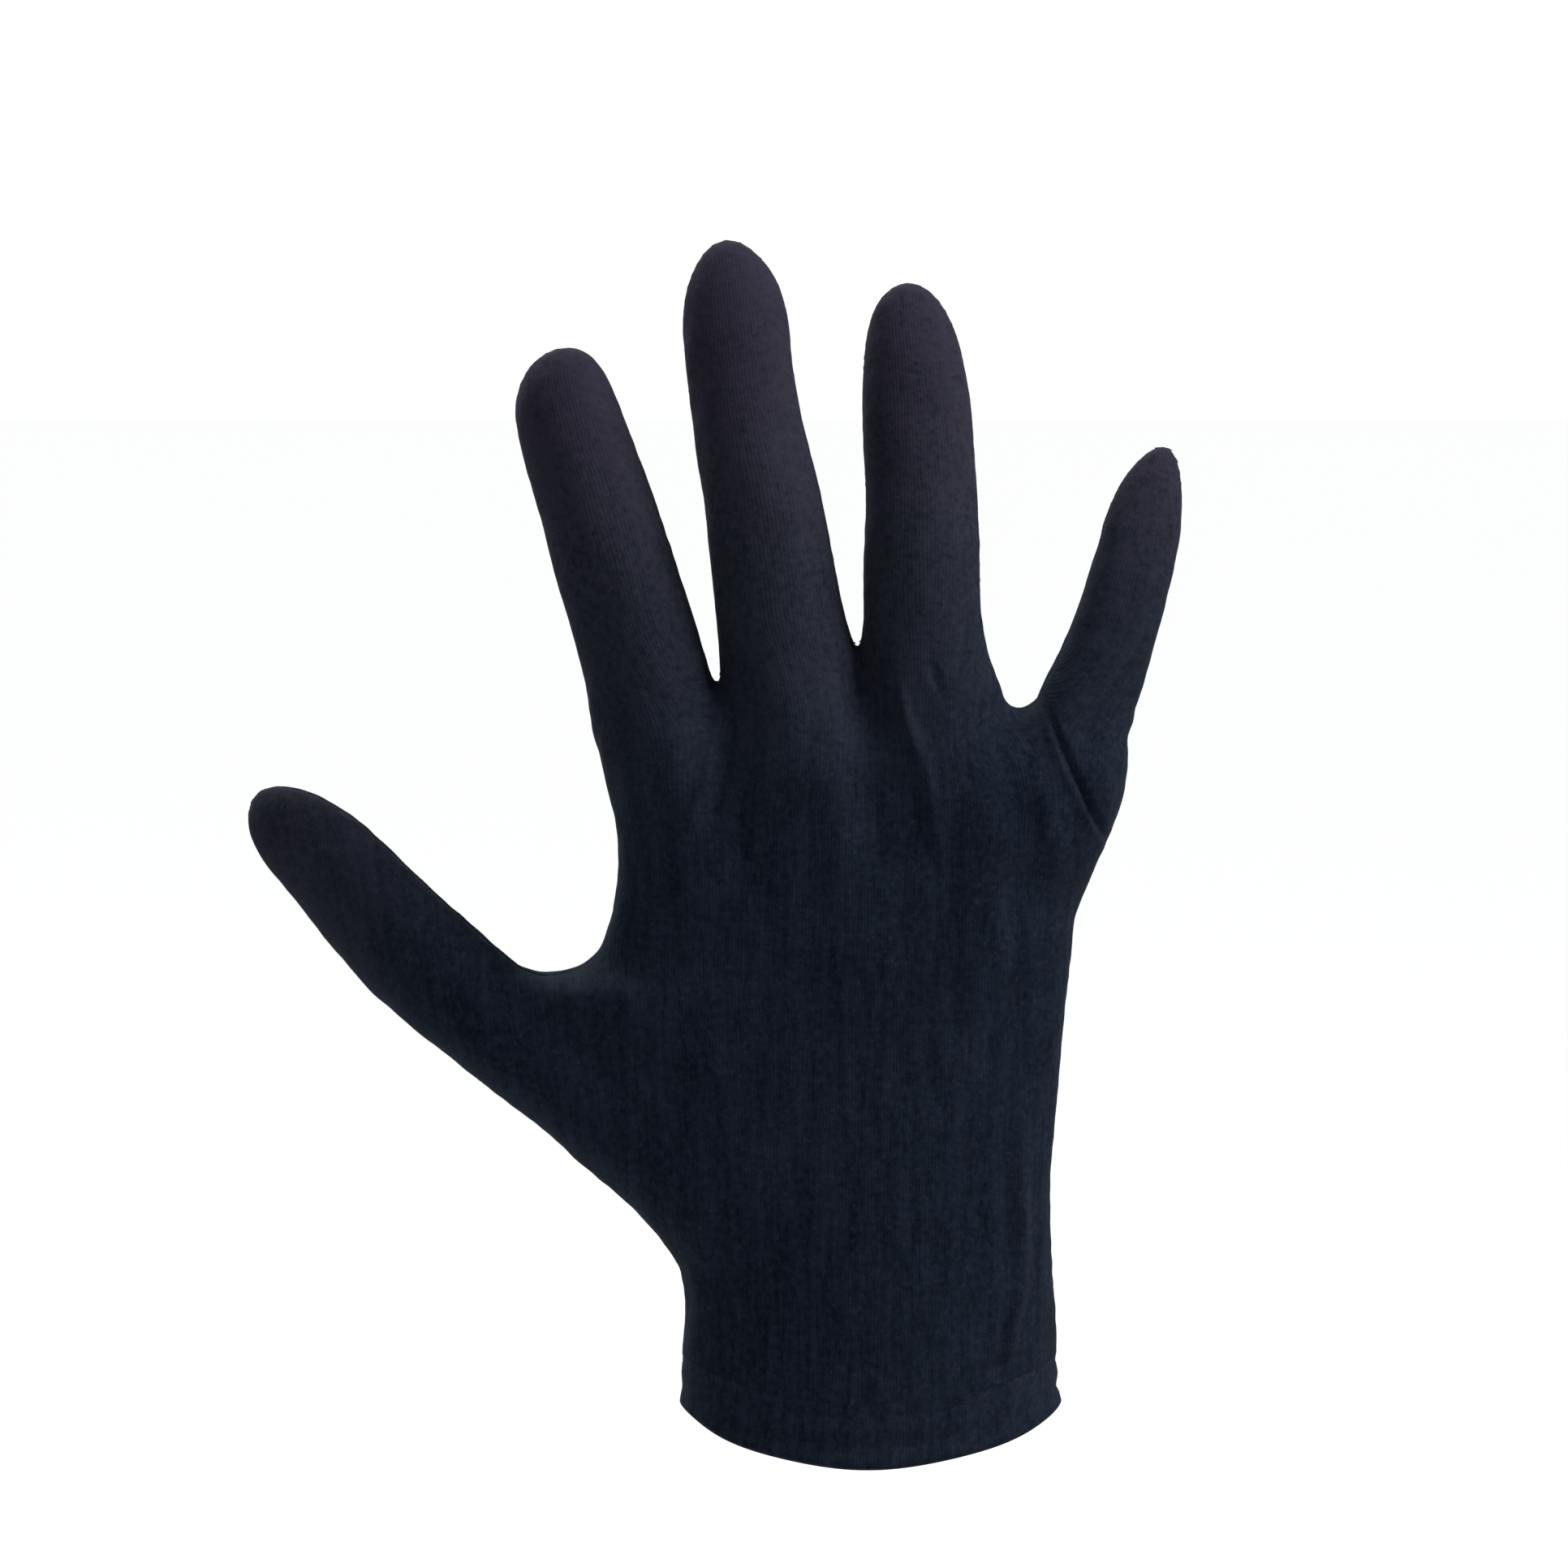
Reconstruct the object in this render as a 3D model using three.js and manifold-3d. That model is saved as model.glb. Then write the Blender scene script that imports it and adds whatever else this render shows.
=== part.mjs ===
// Knit costume glove in its worn form: two cut panels sewn along their outline and a turned hem at the wrist
// Millimetres, +Z from the wrist to the fingers, back of the hand towards -Y, thumb towards -X
// The origin is the centre of the wrist opening

import * as THREE from 'three';
import { mergeVertices } from 'three/addons/utils/BufferGeometryUtils.js';
import Module from 'manifold-3d';

const wasm = await Module();
wasm.setup();

// Driving dimensions
const CLOTH_THICKNESS = 1.2;
const HEM_THICKNESS = 2.4;
const HEM_PROUD = 0.4;
const HEM_DEPTH = 11;
const HEM_EDGE_ROUND = 0.8;
const HEM_SAG_AT_MIDDLE = 3;
const HEM_RISE_AT_SIDES = 7.6;
const HEM_RISE_FADES_AT = 40;
const PIECE_GAP = 0.3;
const WRIST_HALF_WIDTH = 35.3;

// The hand's bend, added to Y after the flat lofts are joined and cut
const FINGER_CURL = 13;
const FINGER_CURL_START = 118;
const FINGER_CURL_REACH = 105;
const LITTLE_FINGER_CURL = 6;
const LITTLE_FINGER_START = 22;
const LITTLE_FINGER_REACH = 34;
const THUMB_CURL = 17;
const THUMB_CURL_START = -38;
const THUMB_CURL_REACH = 78;
const PALM_ARCH = 2.5;
const PALM_ARCH_HALF_WIDTH = 48;
const PALM_ARCH_START = 30;
const PALM_ARCH_REACH = 60;

// How far in from the seam a fold reaches its full height
const FOLD_FADE_FROM_SEAM = 8;

// Number of sides round a section, and the power of a finger's section
const FINGER_SIDES = 18;
const PALM_SIDES = 38;
const FINGER_SQUARE = 2.1;

// Rows at the tip that the inner surface draws back by the cloth's thickness
const TIP_ROWS = 3;

// Sizes that reach well past the glove, to open the wrist and to cut the panels
const PAST_WRIST = 10;
const FAR = 300;

// Fingers and thumb: centre of each section, half its width, its depth to the back and to the palm.
// The last row is the tip, a point.
const INDEX_FINGER = [
  { x: -31.5, z: 106.0, halfWidth: 10.0, back: 9.4, palm: 9.6 },
  { x: -36.4, z: 124.0, halfWidth: 11.6, back: 11.6, palm: 11.6 },
  { x: -40.4, z: 137.5, halfWidth: 11.7, back: 10.4, palm: 10.8 },
  { x: -43.8, z: 150.0, halfWidth: 11.1, back: 9.0, palm: 9.8 },
  { x: -47.6, z: 162.4, halfWidth: 11.0, back: 9.2, palm: 9.2 },
  { x: -51.3, z: 174.5, halfWidth: 10.5, back: 8.5, palm: 8.9 },
  { x: -54.9, z: 186.0, halfWidth: 9.9, back: 7.7, palm: 8.4 },
  { x: -57.0, z: 193.0, halfWidth: 9.1, back: 6.9, palm: 7.6 },
  { x: -57.8, z: 198.2, halfWidth: 7.2, back: 5.4, palm: 6.0 },
  { x: -58.0, z: 201.0, halfWidth: 4.6, back: 3.4, palm: 3.8 },
  { x: -57.9, z: 202.4, halfWidth: 0, back: 0, palm: 0 },
];
const MIDDLE_FINGER = [
  { x: -10.5, z: 108.0, halfWidth: 11.0, back: 9.4, palm: 9.8 },
  { x: -13.0, z: 127.0, halfWidth: 12.0, back: 12.0, palm: 12.0 },
  { x: -14.6, z: 138.0, halfWidth: 12.9, back: 11.2, palm: 11.4 },
  { x: -15.3, z: 145.0, halfWidth: 12.7, back: 10.0, palm: 10.6 },
  { x: -16.6, z: 152.5, halfWidth: 11.7, back: 9.2, palm: 10.1 },
  { x: -18.2, z: 163.0, halfWidth: 11.3, back: 9.0, palm: 9.8 },
  { x: -20.2, z: 176.0, halfWidth: 10.7, back: 9.3, palm: 9.3 },
  { x: -22.6, z: 187.5, halfWidth: 10.1, back: 8.6, palm: 8.9 },
  { x: -24.2, z: 197.5, halfWidth: 9.8, back: 8.0, palm: 8.6 },
  { x: -25.1, z: 207.2, halfWidth: 9.5, back: 7.3, palm: 8.0 },
  { x: -25.8, z: 213.6, halfWidth: 8.4, back: 6.2, palm: 6.9 },
  { x: -26.5, z: 218.6, halfWidth: 6.0, back: 4.4, palm: 4.9 },
  { x: -27.1, z: 222.4, halfWidth: 0, back: 0, palm: 0 },
];
const RING_FINGER = [
  { x: 11.5, z: 108.0, halfWidth: 10.4, back: 9.2, palm: 9.6 },
  { x: 11.2, z: 126.0, halfWidth: 12.0, back: 11.6, palm: 11.6 },
  { x: 11.4, z: 138.0, halfWidth: 13.6, back: 10.6, palm: 10.8 },
  { x: 9.9, z: 145.0, halfWidth: 12.1, back: 9.6, palm: 10.2 },
  { x: 9.7, z: 152.0, halfWidth: 10.8, back: 8.9, palm: 9.7 },
  { x: 9.6, z: 162.0, halfWidth: 10.8, back: 8.9, palm: 9.2 },
  { x: 9.6, z: 174.0, halfWidth: 10.3, back: 8.6, palm: 8.9 },
  { x: 9.0, z: 186.0, halfWidth: 10.2, back: 8.1, palm: 8.6 },
  { x: 8.4, z: 195.5, halfWidth: 9.8, back: 7.6, palm: 8.2 },
  { x: 7.8, z: 203.3, halfWidth: 8.8, back: 6.6, palm: 7.3 },
  { x: 7.3, z: 209.2, halfWidth: 6.9, back: 5.1, palm: 5.7 },
  { x: 7.0, z: 212.7, halfWidth: 4.5, back: 3.4, palm: 3.8 },
  { x: 6.9, z: 214.6, halfWidth: 0, back: 0, palm: 0 },
];
const LITTLE_FINGER = [
  { x: 34.0, z: 108.0, halfWidth: 7.0, back: 7.6, palm: 8.0 },
  { x: 36.8, z: 121.0, halfWidth: 9.8, back: 10.2, palm: 10.4 },
  { x: 38.8, z: 132.0, halfWidth: 9.6, back: 9.2, palm: 9.8 },
  { x: 41.0, z: 138.2, halfWidth: 8.9, back: 8.2, palm: 9.0 },
  { x: 43.6, z: 144.3, halfWidth: 8.2, back: 7.4, palm: 8.2 },
  { x: 46.8, z: 154.0, halfWidth: 7.6, back: 7.0, palm: 7.6 },
  { x: 49.6, z: 163.5, halfWidth: 7.4, back: 6.7, palm: 7.2 },
  { x: 51.6, z: 170.6, halfWidth: 7.0, back: 6.1, palm: 6.6 },
  { x: 53.3, z: 176.4, halfWidth: 5.7, back: 4.8, palm: 5.3 },
  { x: 54.8, z: 180.6, halfWidth: 3.8, back: 3.0, palm: 3.4 },
  { x: 56.1, z: 184.0, halfWidth: 0, back: 0, palm: 0 },
];
const THUMB = [
  { x: -28.0, z: 42.5, halfWidth: 10.6, back: 12.6, palm: 15.0 },
  { x: -41.4, z: 55.2, halfWidth: 12.0, back: 12.8, palm: 16.6 },
  { x: -54.7, z: 65.8, halfWidth: 11.4, back: 11.8, palm: 14.6 },
  { x: -66.8, z: 74.4, halfWidth: 10.9, back: 10.4, palm: 12.0 },
  { x: -77.6, z: 82.3, halfWidth: 10.9, back: 9.8, palm: 10.2 },
  { x: -86.9, z: 90.1, halfWidth: 11.1, back: 9.5, palm: 9.5 },
  { x: -95.0, z: 98.2, halfWidth: 10.6, back: 8.8, palm: 9.2 },
  { x: -103.0, z: 106.7, halfWidth: 9.6, back: 7.8, palm: 8.4 },
  { x: -108.6, z: 111.6, halfWidth: 8.5, back: 6.6, palm: 7.2 },
  { x: -112.6, z: 115.0, halfWidth: 6.3, back: 4.9, palm: 5.4 },
  { x: -114.8, z: 117.0, halfWidth: 3.8, back: 2.9, palm: 3.2 },
  { x: -115.9, z: 118.1, halfWidth: 0, back: 0, palm: 0 },
];

// Hand and wrist: level sections from the wrist opening to the webs between the fingers.
// Square is the power of the section's outline, 2 for an ellipse and more for a flatter back.
const HAND = [
  { z: -2.0, left: -35.5, right: 35.2, back: 22.4, palm: 22.4, square: 2.1 },
  { z: 9.0, left: -35.1, right: 35.0, back: 22.0, palm: 22.2, square: 2.1 },
  { z: 16.0, left: -34.5, right: 35.0, back: 21.6, palm: 21.8, square: 2.1 },
  { z: 23.0, left: -34.3, right: 34.8, back: 21.0, palm: 21.2, square: 2.1 },
  { z: 31.0, left: -35.6, right: 34.5, back: 20.2, palm: 20.8, square: 2.1 },
  { z: 39.0, left: -39.6, right: 34.1, back: 18.9, palm: 20.6, square: 2.15 },
  { z: 47.0, left: -44.0, right: 34.0, back: 18.0, palm: 20.6, square: 2.2 },
  { z: 57.0, left: -50.0, right: 34.7, back: 17.2, palm: 20.4, square: 2.25 },
  { z: 67.0, left: -57.0, right: 35.6, back: 16.4, palm: 19.8, square: 2.3 },
  { z: 76.0, left: -63.0, right: 36.4, back: 15.8, palm: 18.8, square: 2.4 },
  { z: 83.0, left: -63.0, right: 37.1, back: 15.5, palm: 18.0, square: 2.4 },
  { z: 87.2, left: -58.4, right: 37.4, back: 15.3, palm: 17.6, square: 2.4 },
  { z: 90.6, left: -51.0, right: 37.7, back: 15.2, palm: 17.2, square: 2.45 },
  { z: 96.0, left: -48.2, right: 38.4, back: 15.0, palm: 16.6, square: 2.5 },
  { z: 105.0, left: -47.0, right: 40.5, back: 14.7, palm: 15.8, square: 2.5 },
  { z: 114.0, left: -47.2, right: 44.9, back: 14.1, palm: 15.0, square: 2.5 },
  { z: 120.5, left: -48.2, right: 47.3, back: 13.3, palm: 14.2, square: 2.5 },
  { z: 127.0, left: -49.4, right: 48.0, back: 11.8, palm: 12.6, square: 2.4 },
  { z: 132.5, left: -50.6, right: 47.0, back: 9.0, palm: 9.8, square: 2.3 },
  { z: 137.2, left: -49.0, right: 28.0, back: 5.0, palm: 5.8, square: 2.2 },
];

// Folds, knuckles and hollows: where the middle is, which way it runs from +Z towards +X in degrees,
// half its length, half its width and its height outwards, negative for a hollow
const FOLDS = [
  { panel: 'back', x: -38.0, z: 126.0, turn: -16, length: 12, width: 8.5, height: 1.0 },
  { panel: 'back', x: -13.5, z: 131.0, turn: -8, length: 12, width: 9.0, height: 1.2 },
  { panel: 'back', x: 11.0, z: 128.0, turn: 0, length: 12, width: 8.5, height: 1.0 },
  { panel: 'back', x: 31.5, z: 118.0, turn: 12, length: 11, width: 7.0, height: 1.1 },
  { panel: 'back', x: 20.8, z: 105.0, turn: 2, length: 24, width: 6.0, height: 0.9 },
  { panel: 'back', x: -5.0, z: 110.0, turn: 0, length: 20, width: 6.0, height: 0.8 },
  { panel: 'back', x: -31.0, z: 124.5, turn: -18, length: 12, width: 4.0, height: 0.8 },
  { panel: 'back', x: -26.0, z: 119.0, turn: -12, length: 18, width: 4.5, height: -1.2 },
  { panel: 'back', x: -1.0, z: 129.0, turn: 0, length: 16, width: 4.5, height: -1.2 },
  { panel: 'back', x: 38.4, z: 123.5, turn: 20, length: 13, width: 4.0, height: -2.4 },
  { panel: 'back', x: 44.0, z: 120.0, turn: 12, length: 12, width: 4.0, height: 1.0 },
  { panel: 'back', x: -31.4, z: 38.0, turn: -13, length: 12, width: 4.0, height: 0.9 },
  { panel: 'back', x: 29.0, z: 22.0, turn: 35, length: 9, width: 4.0, height: 0.9 },
  { panel: 'back', x: 31.0, z: 41.0, turn: 0, length: 12, width: 4.0, height: 0.7 },
  { panel: 'back', x: -71.5, z: 74.0, turn: 60, length: 8, width: 4.0, height: 0.8 },
  { panel: 'back', x: -48.4, z: 166.0, turn: -16, length: 7, width: 7.0, height: 0.7 },
  { panel: 'back', x: -20.6, z: 177.0, turn: -9, length: 7, width: 7.0, height: 0.7 },
  { panel: 'back', x: 9.5, z: 170.0, turn: -2, length: 7, width: 7.0, height: 0.7 },
  { panel: 'palm', x: -2.0, z: 92.0, turn: 0, length: 26, width: 16.0, height: -3.6 },
  { panel: 'palm', x: -22.0, z: 80.0, turn: -30, length: 28, width: 5.0, height: -2.2 },
  { panel: 'palm', x: 2.0, z: 117.0, turn: 80, length: 30, width: 4.5, height: -1.0 },
  { panel: 'palm', x: 26.0, z: 66.0, turn: 6, length: 28, width: 9.0, height: 1.6 },
  { panel: 'palm', x: 0.0, z: 40.0, turn: 90, length: 24, width: 4.5, height: -1.0 },
];

const PALM_COLOUR = 0x1c2029;
const BACK_COLOUR = 0x20242e;
const HEM_COLOUR = 0x191d26;

// Rises smoothly from 0 to 1 as t goes from 0 to 1
function ease(t) {
  const held = Math.min(1, Math.max(0, t));
  return held * held * (3 - 2 * held);
}

// A closed mesh from rings of equal length, capped flat or by the point that a ring shrinks to
function meshFromRings(rings) {
  const sides = rings[0].length;
  const positions = [];
  const indices = [];
  for (const ring of rings) {
    for (const point of ring) positions.push(point.x, point.y, point.z);
  }
  for (let row = 0; row + 1 < rings.length; row++) {
    for (let side = 0; side < sides; side++) {
      const next = (side + 1) % sides;
      const here = row * sides;
      const above = here + sides;
      indices.push(here + side, here + next, above + next);
      indices.push(here + side, above + next, above + side);
    }
  }
  for (const [row, facesDown] of [[0, true], [rings.length - 1, false]]) {
    const middle = rings[row].reduce((sum, point) => sum.add(point), new THREE.Vector3());
    middle.divideScalar(sides);
    const middleIndex = positions.length / 3;
    positions.push(middle.x, middle.y, middle.z);
    for (let side = 0; side < sides; side++) {
      const first = row * sides + side;
      const second = row * sides + (side + 1) % sides;
      if (facesDown) indices.push(middleIndex, second, first);
      else indices.push(middleIndex, first, second);
    }
  }
  const geometry = new THREE.BufferGeometry();
  geometry.setAttribute('position', new THREE.Float32BufferAttribute(positions, 3));
  geometry.setIndex(indices);
  return geometry;
}

// A ring of points: half its width along the direction across, its depths along -Y and +Y
function sectionRing(centre, across, halfWidth, back, palm, square, sides) {
  const ring = [];
  for (let side = 0; side < sides; side++) {
    const angle = (2 * Math.PI * side) / sides;
    const cosine = Math.cos(angle);
    const sine = Math.sin(angle);
    const reach = halfWidth * Math.sign(cosine) * Math.abs(cosine) ** (2 / square);
    const depth = (sine < 0 ? back : palm) * Math.sign(sine) * Math.abs(sine) ** (2 / square);
    ring.push(new THREE.Vector3(centre.x + across.x * reach, depth, centre.z + across.z * reach));
  }
  return ring;
}

// A finger's loft, drawn in by inset all round and at its tip
function fingerGeometry(rows, inset) {
  const rings = rows.map((row, index) => {
    const before = rows[Math.max(0, index - 1)];
    const after = rows[Math.min(rows.length - 1, index + 1)];
    const along = new THREE.Vector3(after.x - before.x, 0, after.z - before.z).normalize();
    const across = new THREE.Vector3(along.z, 0, -along.x);
    const drawn = (size) => Math.max(0, size - inset);
    const shift = index >= rows.length - TIP_ROWS ? inset : 0;
    const centre = new THREE.Vector3(row.x - along.x * shift, 0, row.z - along.z * shift);
    const [halfWidth, back, palm] = [row.halfWidth, row.back, row.palm].map(drawn);
    return sectionRing(centre, across, halfWidth, back, palm, FINGER_SQUARE, FINGER_SIDES);
  });
  return meshFromRings(rings);
}

// The hand and wrist's loft, drawn in by inset all round, its ends moved out by endShift
function handGeometry(inset, endShift) {
  const across = new THREE.Vector3(1, 0, 0);
  const rings = HAND.map((row, index) => {
    const isBottom = index === 0;
    const isTop = index === HAND.length - 1;
    const height = row.z - (isBottom ? endShift : 0) - (isTop ? inset : 0);
    const centre = new THREE.Vector3((row.left + row.right) / 2, 0, height);
    const halfWidth = (row.right - row.left) / 2 - inset;
    return sectionRing(centre, across, halfWidth, row.back - inset, row.palm - inset, row.square, PALM_SIDES);
  });
  return meshFromRings(rings);
}

// A solid of the boolean library from a closed geometry
function solidFrom(geometry) {
  const bare = geometry.clone();
  bare.deleteAttribute('normal');
  bare.deleteAttribute('uv');
  const merged = mergeVertices(bare, 1e-4);
  const corners = merged.index.array;
  const kept = [];
  for (let start = 0; start < corners.length; start += 3) {
    const [a, b, c] = [corners[start], corners[start + 1], corners[start + 2]];
    if (a !== b && b !== c && c !== a) kept.push(a, b, c);
  }
  return new wasm.Manifold(new wasm.Mesh({
    numProp: 3,
    vertProperties: new Float32Array(merged.attributes.position.array),
    triVerts: new Uint32Array(kept),
  }));
}

// A closed geometry from a solid of the boolean library
function geometryFrom(solid) {
  const { vertProperties, triVerts } = solid.getMesh();
  const geometry = new THREE.BufferGeometry();
  geometry.setAttribute('position', new THREE.BufferAttribute(new Float32Array(vertProperties), 3));
  geometry.setIndex(new THREE.BufferAttribute(new Uint32Array(triVerts), 1));
  return geometry;
}

// A box between two corners, as a solid
function boxSolid(low, high) {
  const size = new THREE.Vector3().subVectors(high, low);
  const middle = new THREE.Vector3().addVectors(low, high).multiplyScalar(0.5);
  const geometry = new THREE.BoxGeometry(size.x, size.y, size.z);
  geometry.translate(middle.x, middle.y, middle.z);
  return solidFrom(geometry);
}

// All the lofts of the glove joined, drawn in by inset
function gloveSolid(inset, endShift) {
  let joined = solidFrom(handGeometry(inset, endShift));
  for (const rows of [INDEX_FINGER, MIDDLE_FINGER, RING_FINGER, LITTLE_FINGER, THUMB]) {
    joined = joined.add(solidFrom(fingerGeometry(rows, inset)));
  }
  return joined;
}

// How far the curled fingers, the thumb and the arch of the hand move a point along Y
function handBend(x, z) {
  const fingerPart = Math.max(0, (z - FINGER_CURL_START) / FINGER_CURL_REACH);
  const thumbPart = Math.max(0, (THUMB_CURL_START - x) / THUMB_CURL_REACH);
  const littlePart = ease((x - LITTLE_FINGER_START) / LITTLE_FINGER_REACH);
  const archHeight = ease((z - PALM_ARCH_START) / PALM_ARCH_REACH);
  const archPart = archHeight * Math.min(1, (x / PALM_ARCH_HALF_WIDTH) ** 2);
  const fingerShift = FINGER_CURL * fingerPart ** 2 + LITTLE_FINGER_CURL * fingerPart * littlePart;
  return fingerShift + THUMB_CURL * thumbPart ** 2 + PALM_ARCH * archPart;
}

// How far the folds of one panel stand out at a place
function foldHeight(panel, x, z) {
  let height = 0;
  for (const fold of FOLDS) {
    if (fold.panel !== panel) continue;
    const turn = THREE.MathUtils.degToRad(fold.turn);
    const along = (x - fold.x) * Math.sin(turn) + (z - fold.z) * Math.cos(turn);
    const across = (x - fold.x) * Math.cos(turn) - (z - fold.z) * Math.sin(turn);
    height += fold.height * Math.exp(-((along / fold.length) ** 4) - (across / fold.width) ** 2);
  }
  return height;
}

// The worn shape: folds, the hem's rise at the sides, and the bend of the hand
function wear(geometry, panel) {
  const position = geometry.attributes.position;
  for (let index = 0; index < position.count; index++) {
    const x = position.getX(index);
    const y = position.getY(index);
    const z = position.getZ(index);
    const outward = Math.sign(y) * Math.min(1, Math.abs(y) / FOLD_FADE_FROM_SEAM);
    const folded = y + outward * foldHeight(panel, x, z);
    const rise = HEM_RISE_AT_SIDES * (x / WRIST_HALF_WIDTH) ** 2 - HEM_SAG_AT_MIDDLE;
    const lift = rise * (1 - ease(z / HEM_RISE_FADES_AT));
    position.setXYZ(index, x, folded + handBend(x, z), z + lift);
  }
  return geometry;
}

// The double band round the wrist opening, with a rounded lower edge
function hemSolid() {
  const across = new THREE.Vector3(1, 0, 0);
  const level = (z, grow) => {
    const row = HAND[1];
    const centre = new THREE.Vector3((row.left + row.right) / 2, 0, z);
    const halfWidth = (row.right - row.left) / 2 + grow;
    return sectionRing(centre, across, halfWidth, row.back + grow, row.palm + grow, row.square, PALM_SIDES);
  };
  const top = HEM_DEPTH;
  const outside = meshFromRings([
    level(0, HEM_PROUD - HEM_EDGE_ROUND),
    level(HEM_EDGE_ROUND, HEM_PROUD),
    level(top / 2, HEM_PROUD),
    level(top - HEM_EDGE_ROUND / 2, HEM_PROUD),
    level(top, HEM_PROUD - HEM_EDGE_ROUND / 2),
  ]);
  const innerGrow = HEM_PROUD - HEM_THICKNESS;
  const inside = meshFromRings([
    level(-1, innerGrow + HEM_EDGE_ROUND),
    level(0, innerGrow + HEM_EDGE_ROUND / 2),
    level(HEM_EDGE_ROUND, innerGrow),
    level(top / 2, innerGrow),
    level(top + 1, innerGrow),
  ]);
  return solidFrom(outside).subtract(solidFrom(inside));
}

// The whole glove's wall, then cut along the seam and above the hem
const wall = gloveSolid(0, 0).subtract(gloveSolid(CLOTH_THICKNESS, PAST_WRIST));
const panelBottom = HEM_DEPTH + PIECE_GAP;
const seam = PIECE_GAP / 2;
const backHalf = boxSolid(new THREE.Vector3(-FAR, -FAR, panelBottom), new THREE.Vector3(FAR, -seam, FAR));
const palmHalf = boxSolid(new THREE.Vector3(-FAR, seam, panelBottom), new THREE.Vector3(FAR, FAR, FAR));

const knit = (color) => new THREE.MeshStandardMaterial({ color, roughness: 0.95, metalness: 0 });

const glove = new THREE.Group();

function addPiece(name, geometry, color) {
  geometry.computeVertexNormals();
  const mesh = new THREE.Mesh(geometry, knit(color));
  mesh.name = name;
  glove.add(mesh);
}

addPiece('back_panel', wear(geometryFrom(wall.intersect(backHalf)), 'back'), BACK_COLOUR);
addPiece('palm_panel', wear(geometryFrom(wall.intersect(palmHalf)), 'palm'), PALM_COLOUR);
addPiece('cuff_hem', wear(geometryFrom(hemSolid()), 'hem'), HEM_COLOUR);

export default glove;
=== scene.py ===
"""Looks of a worn knit costume glove: two sewn panels, a turned hem, their stitches and a plain studio."""

from __future__ import annotations

import logging
import math
from dataclasses import dataclass, field
from enum import Enum
from typing import NamedTuple

import bmesh
import bpy
import numpy as np
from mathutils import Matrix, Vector


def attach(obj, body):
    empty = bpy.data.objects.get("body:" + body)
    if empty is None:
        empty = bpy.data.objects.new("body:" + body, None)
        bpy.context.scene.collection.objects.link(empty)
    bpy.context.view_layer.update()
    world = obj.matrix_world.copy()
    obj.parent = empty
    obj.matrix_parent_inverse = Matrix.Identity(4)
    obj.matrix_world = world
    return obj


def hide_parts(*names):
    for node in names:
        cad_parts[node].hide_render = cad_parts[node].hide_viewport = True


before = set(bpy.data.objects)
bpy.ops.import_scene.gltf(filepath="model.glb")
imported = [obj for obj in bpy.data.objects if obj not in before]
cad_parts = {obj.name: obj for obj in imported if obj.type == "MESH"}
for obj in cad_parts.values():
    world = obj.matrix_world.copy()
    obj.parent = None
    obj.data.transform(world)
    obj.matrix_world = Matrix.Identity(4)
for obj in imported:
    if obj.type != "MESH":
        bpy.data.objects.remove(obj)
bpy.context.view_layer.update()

LOG = logging.getLogger("glove")
METRES = 0.001
TINY = 1e-6
Array = np.ndarray
Number = float | int
Colour = tuple[float, float, float, float]

# Sizes shared by the pieces, in millimetres
PANEL_BOTTOM = 11.3
EDGE_SUPPORT = 0.1
MESH_STEP = 0.82
HAND_TOP = 137.2
HAND_TOP_ROUND = 4.0
FINGER_JOIN = 2.6
HAND_JOIN = 5.0
THUMB_JOIN = 5.0
SEAM_HALF_WIDTH = 1.15
WALE_SPACING = 0.6
COURSE_SPACING = 0.48
TABLE_STEP = 0.25


class Side(Enum):
    """The two faces of the hand, with the sign of Y that each lies towards."""

    BACK = -1.0
    PALM = 1.0


class FoldKind(Enum):
    """How a fold's section runs: a rounded ridge, a rounded hollow, or a sharp crease with a lip."""

    RIDGE = "ridge"
    HOLLOW = "hollow"
    CREASE = "crease"


RIDGE, HOLLOW, CREASE = FoldKind


class Swell(NamedTuple):
    """A broad rise or dip: middle, turn from +Z towards +X in degrees, half length, half width, height."""

    x: float
    z: float
    turn: float
    length: float
    width: float
    height: float


class Fold(NamedTuple):
    """A narrow fold from one end to the other, with its half width, its height and its bow to one side."""

    kind: FoldKind
    start: tuple[float, float]
    end: tuple[float, float]
    width: float
    height: float
    bow: float


class Wrinkles(NamedTuple):
    """A joint's three wrinkles on one side: the middle one's height, the outer ones' and their bow."""

    kind: FoldKind
    width: float
    middle: float
    outer: float
    bow: float


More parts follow.
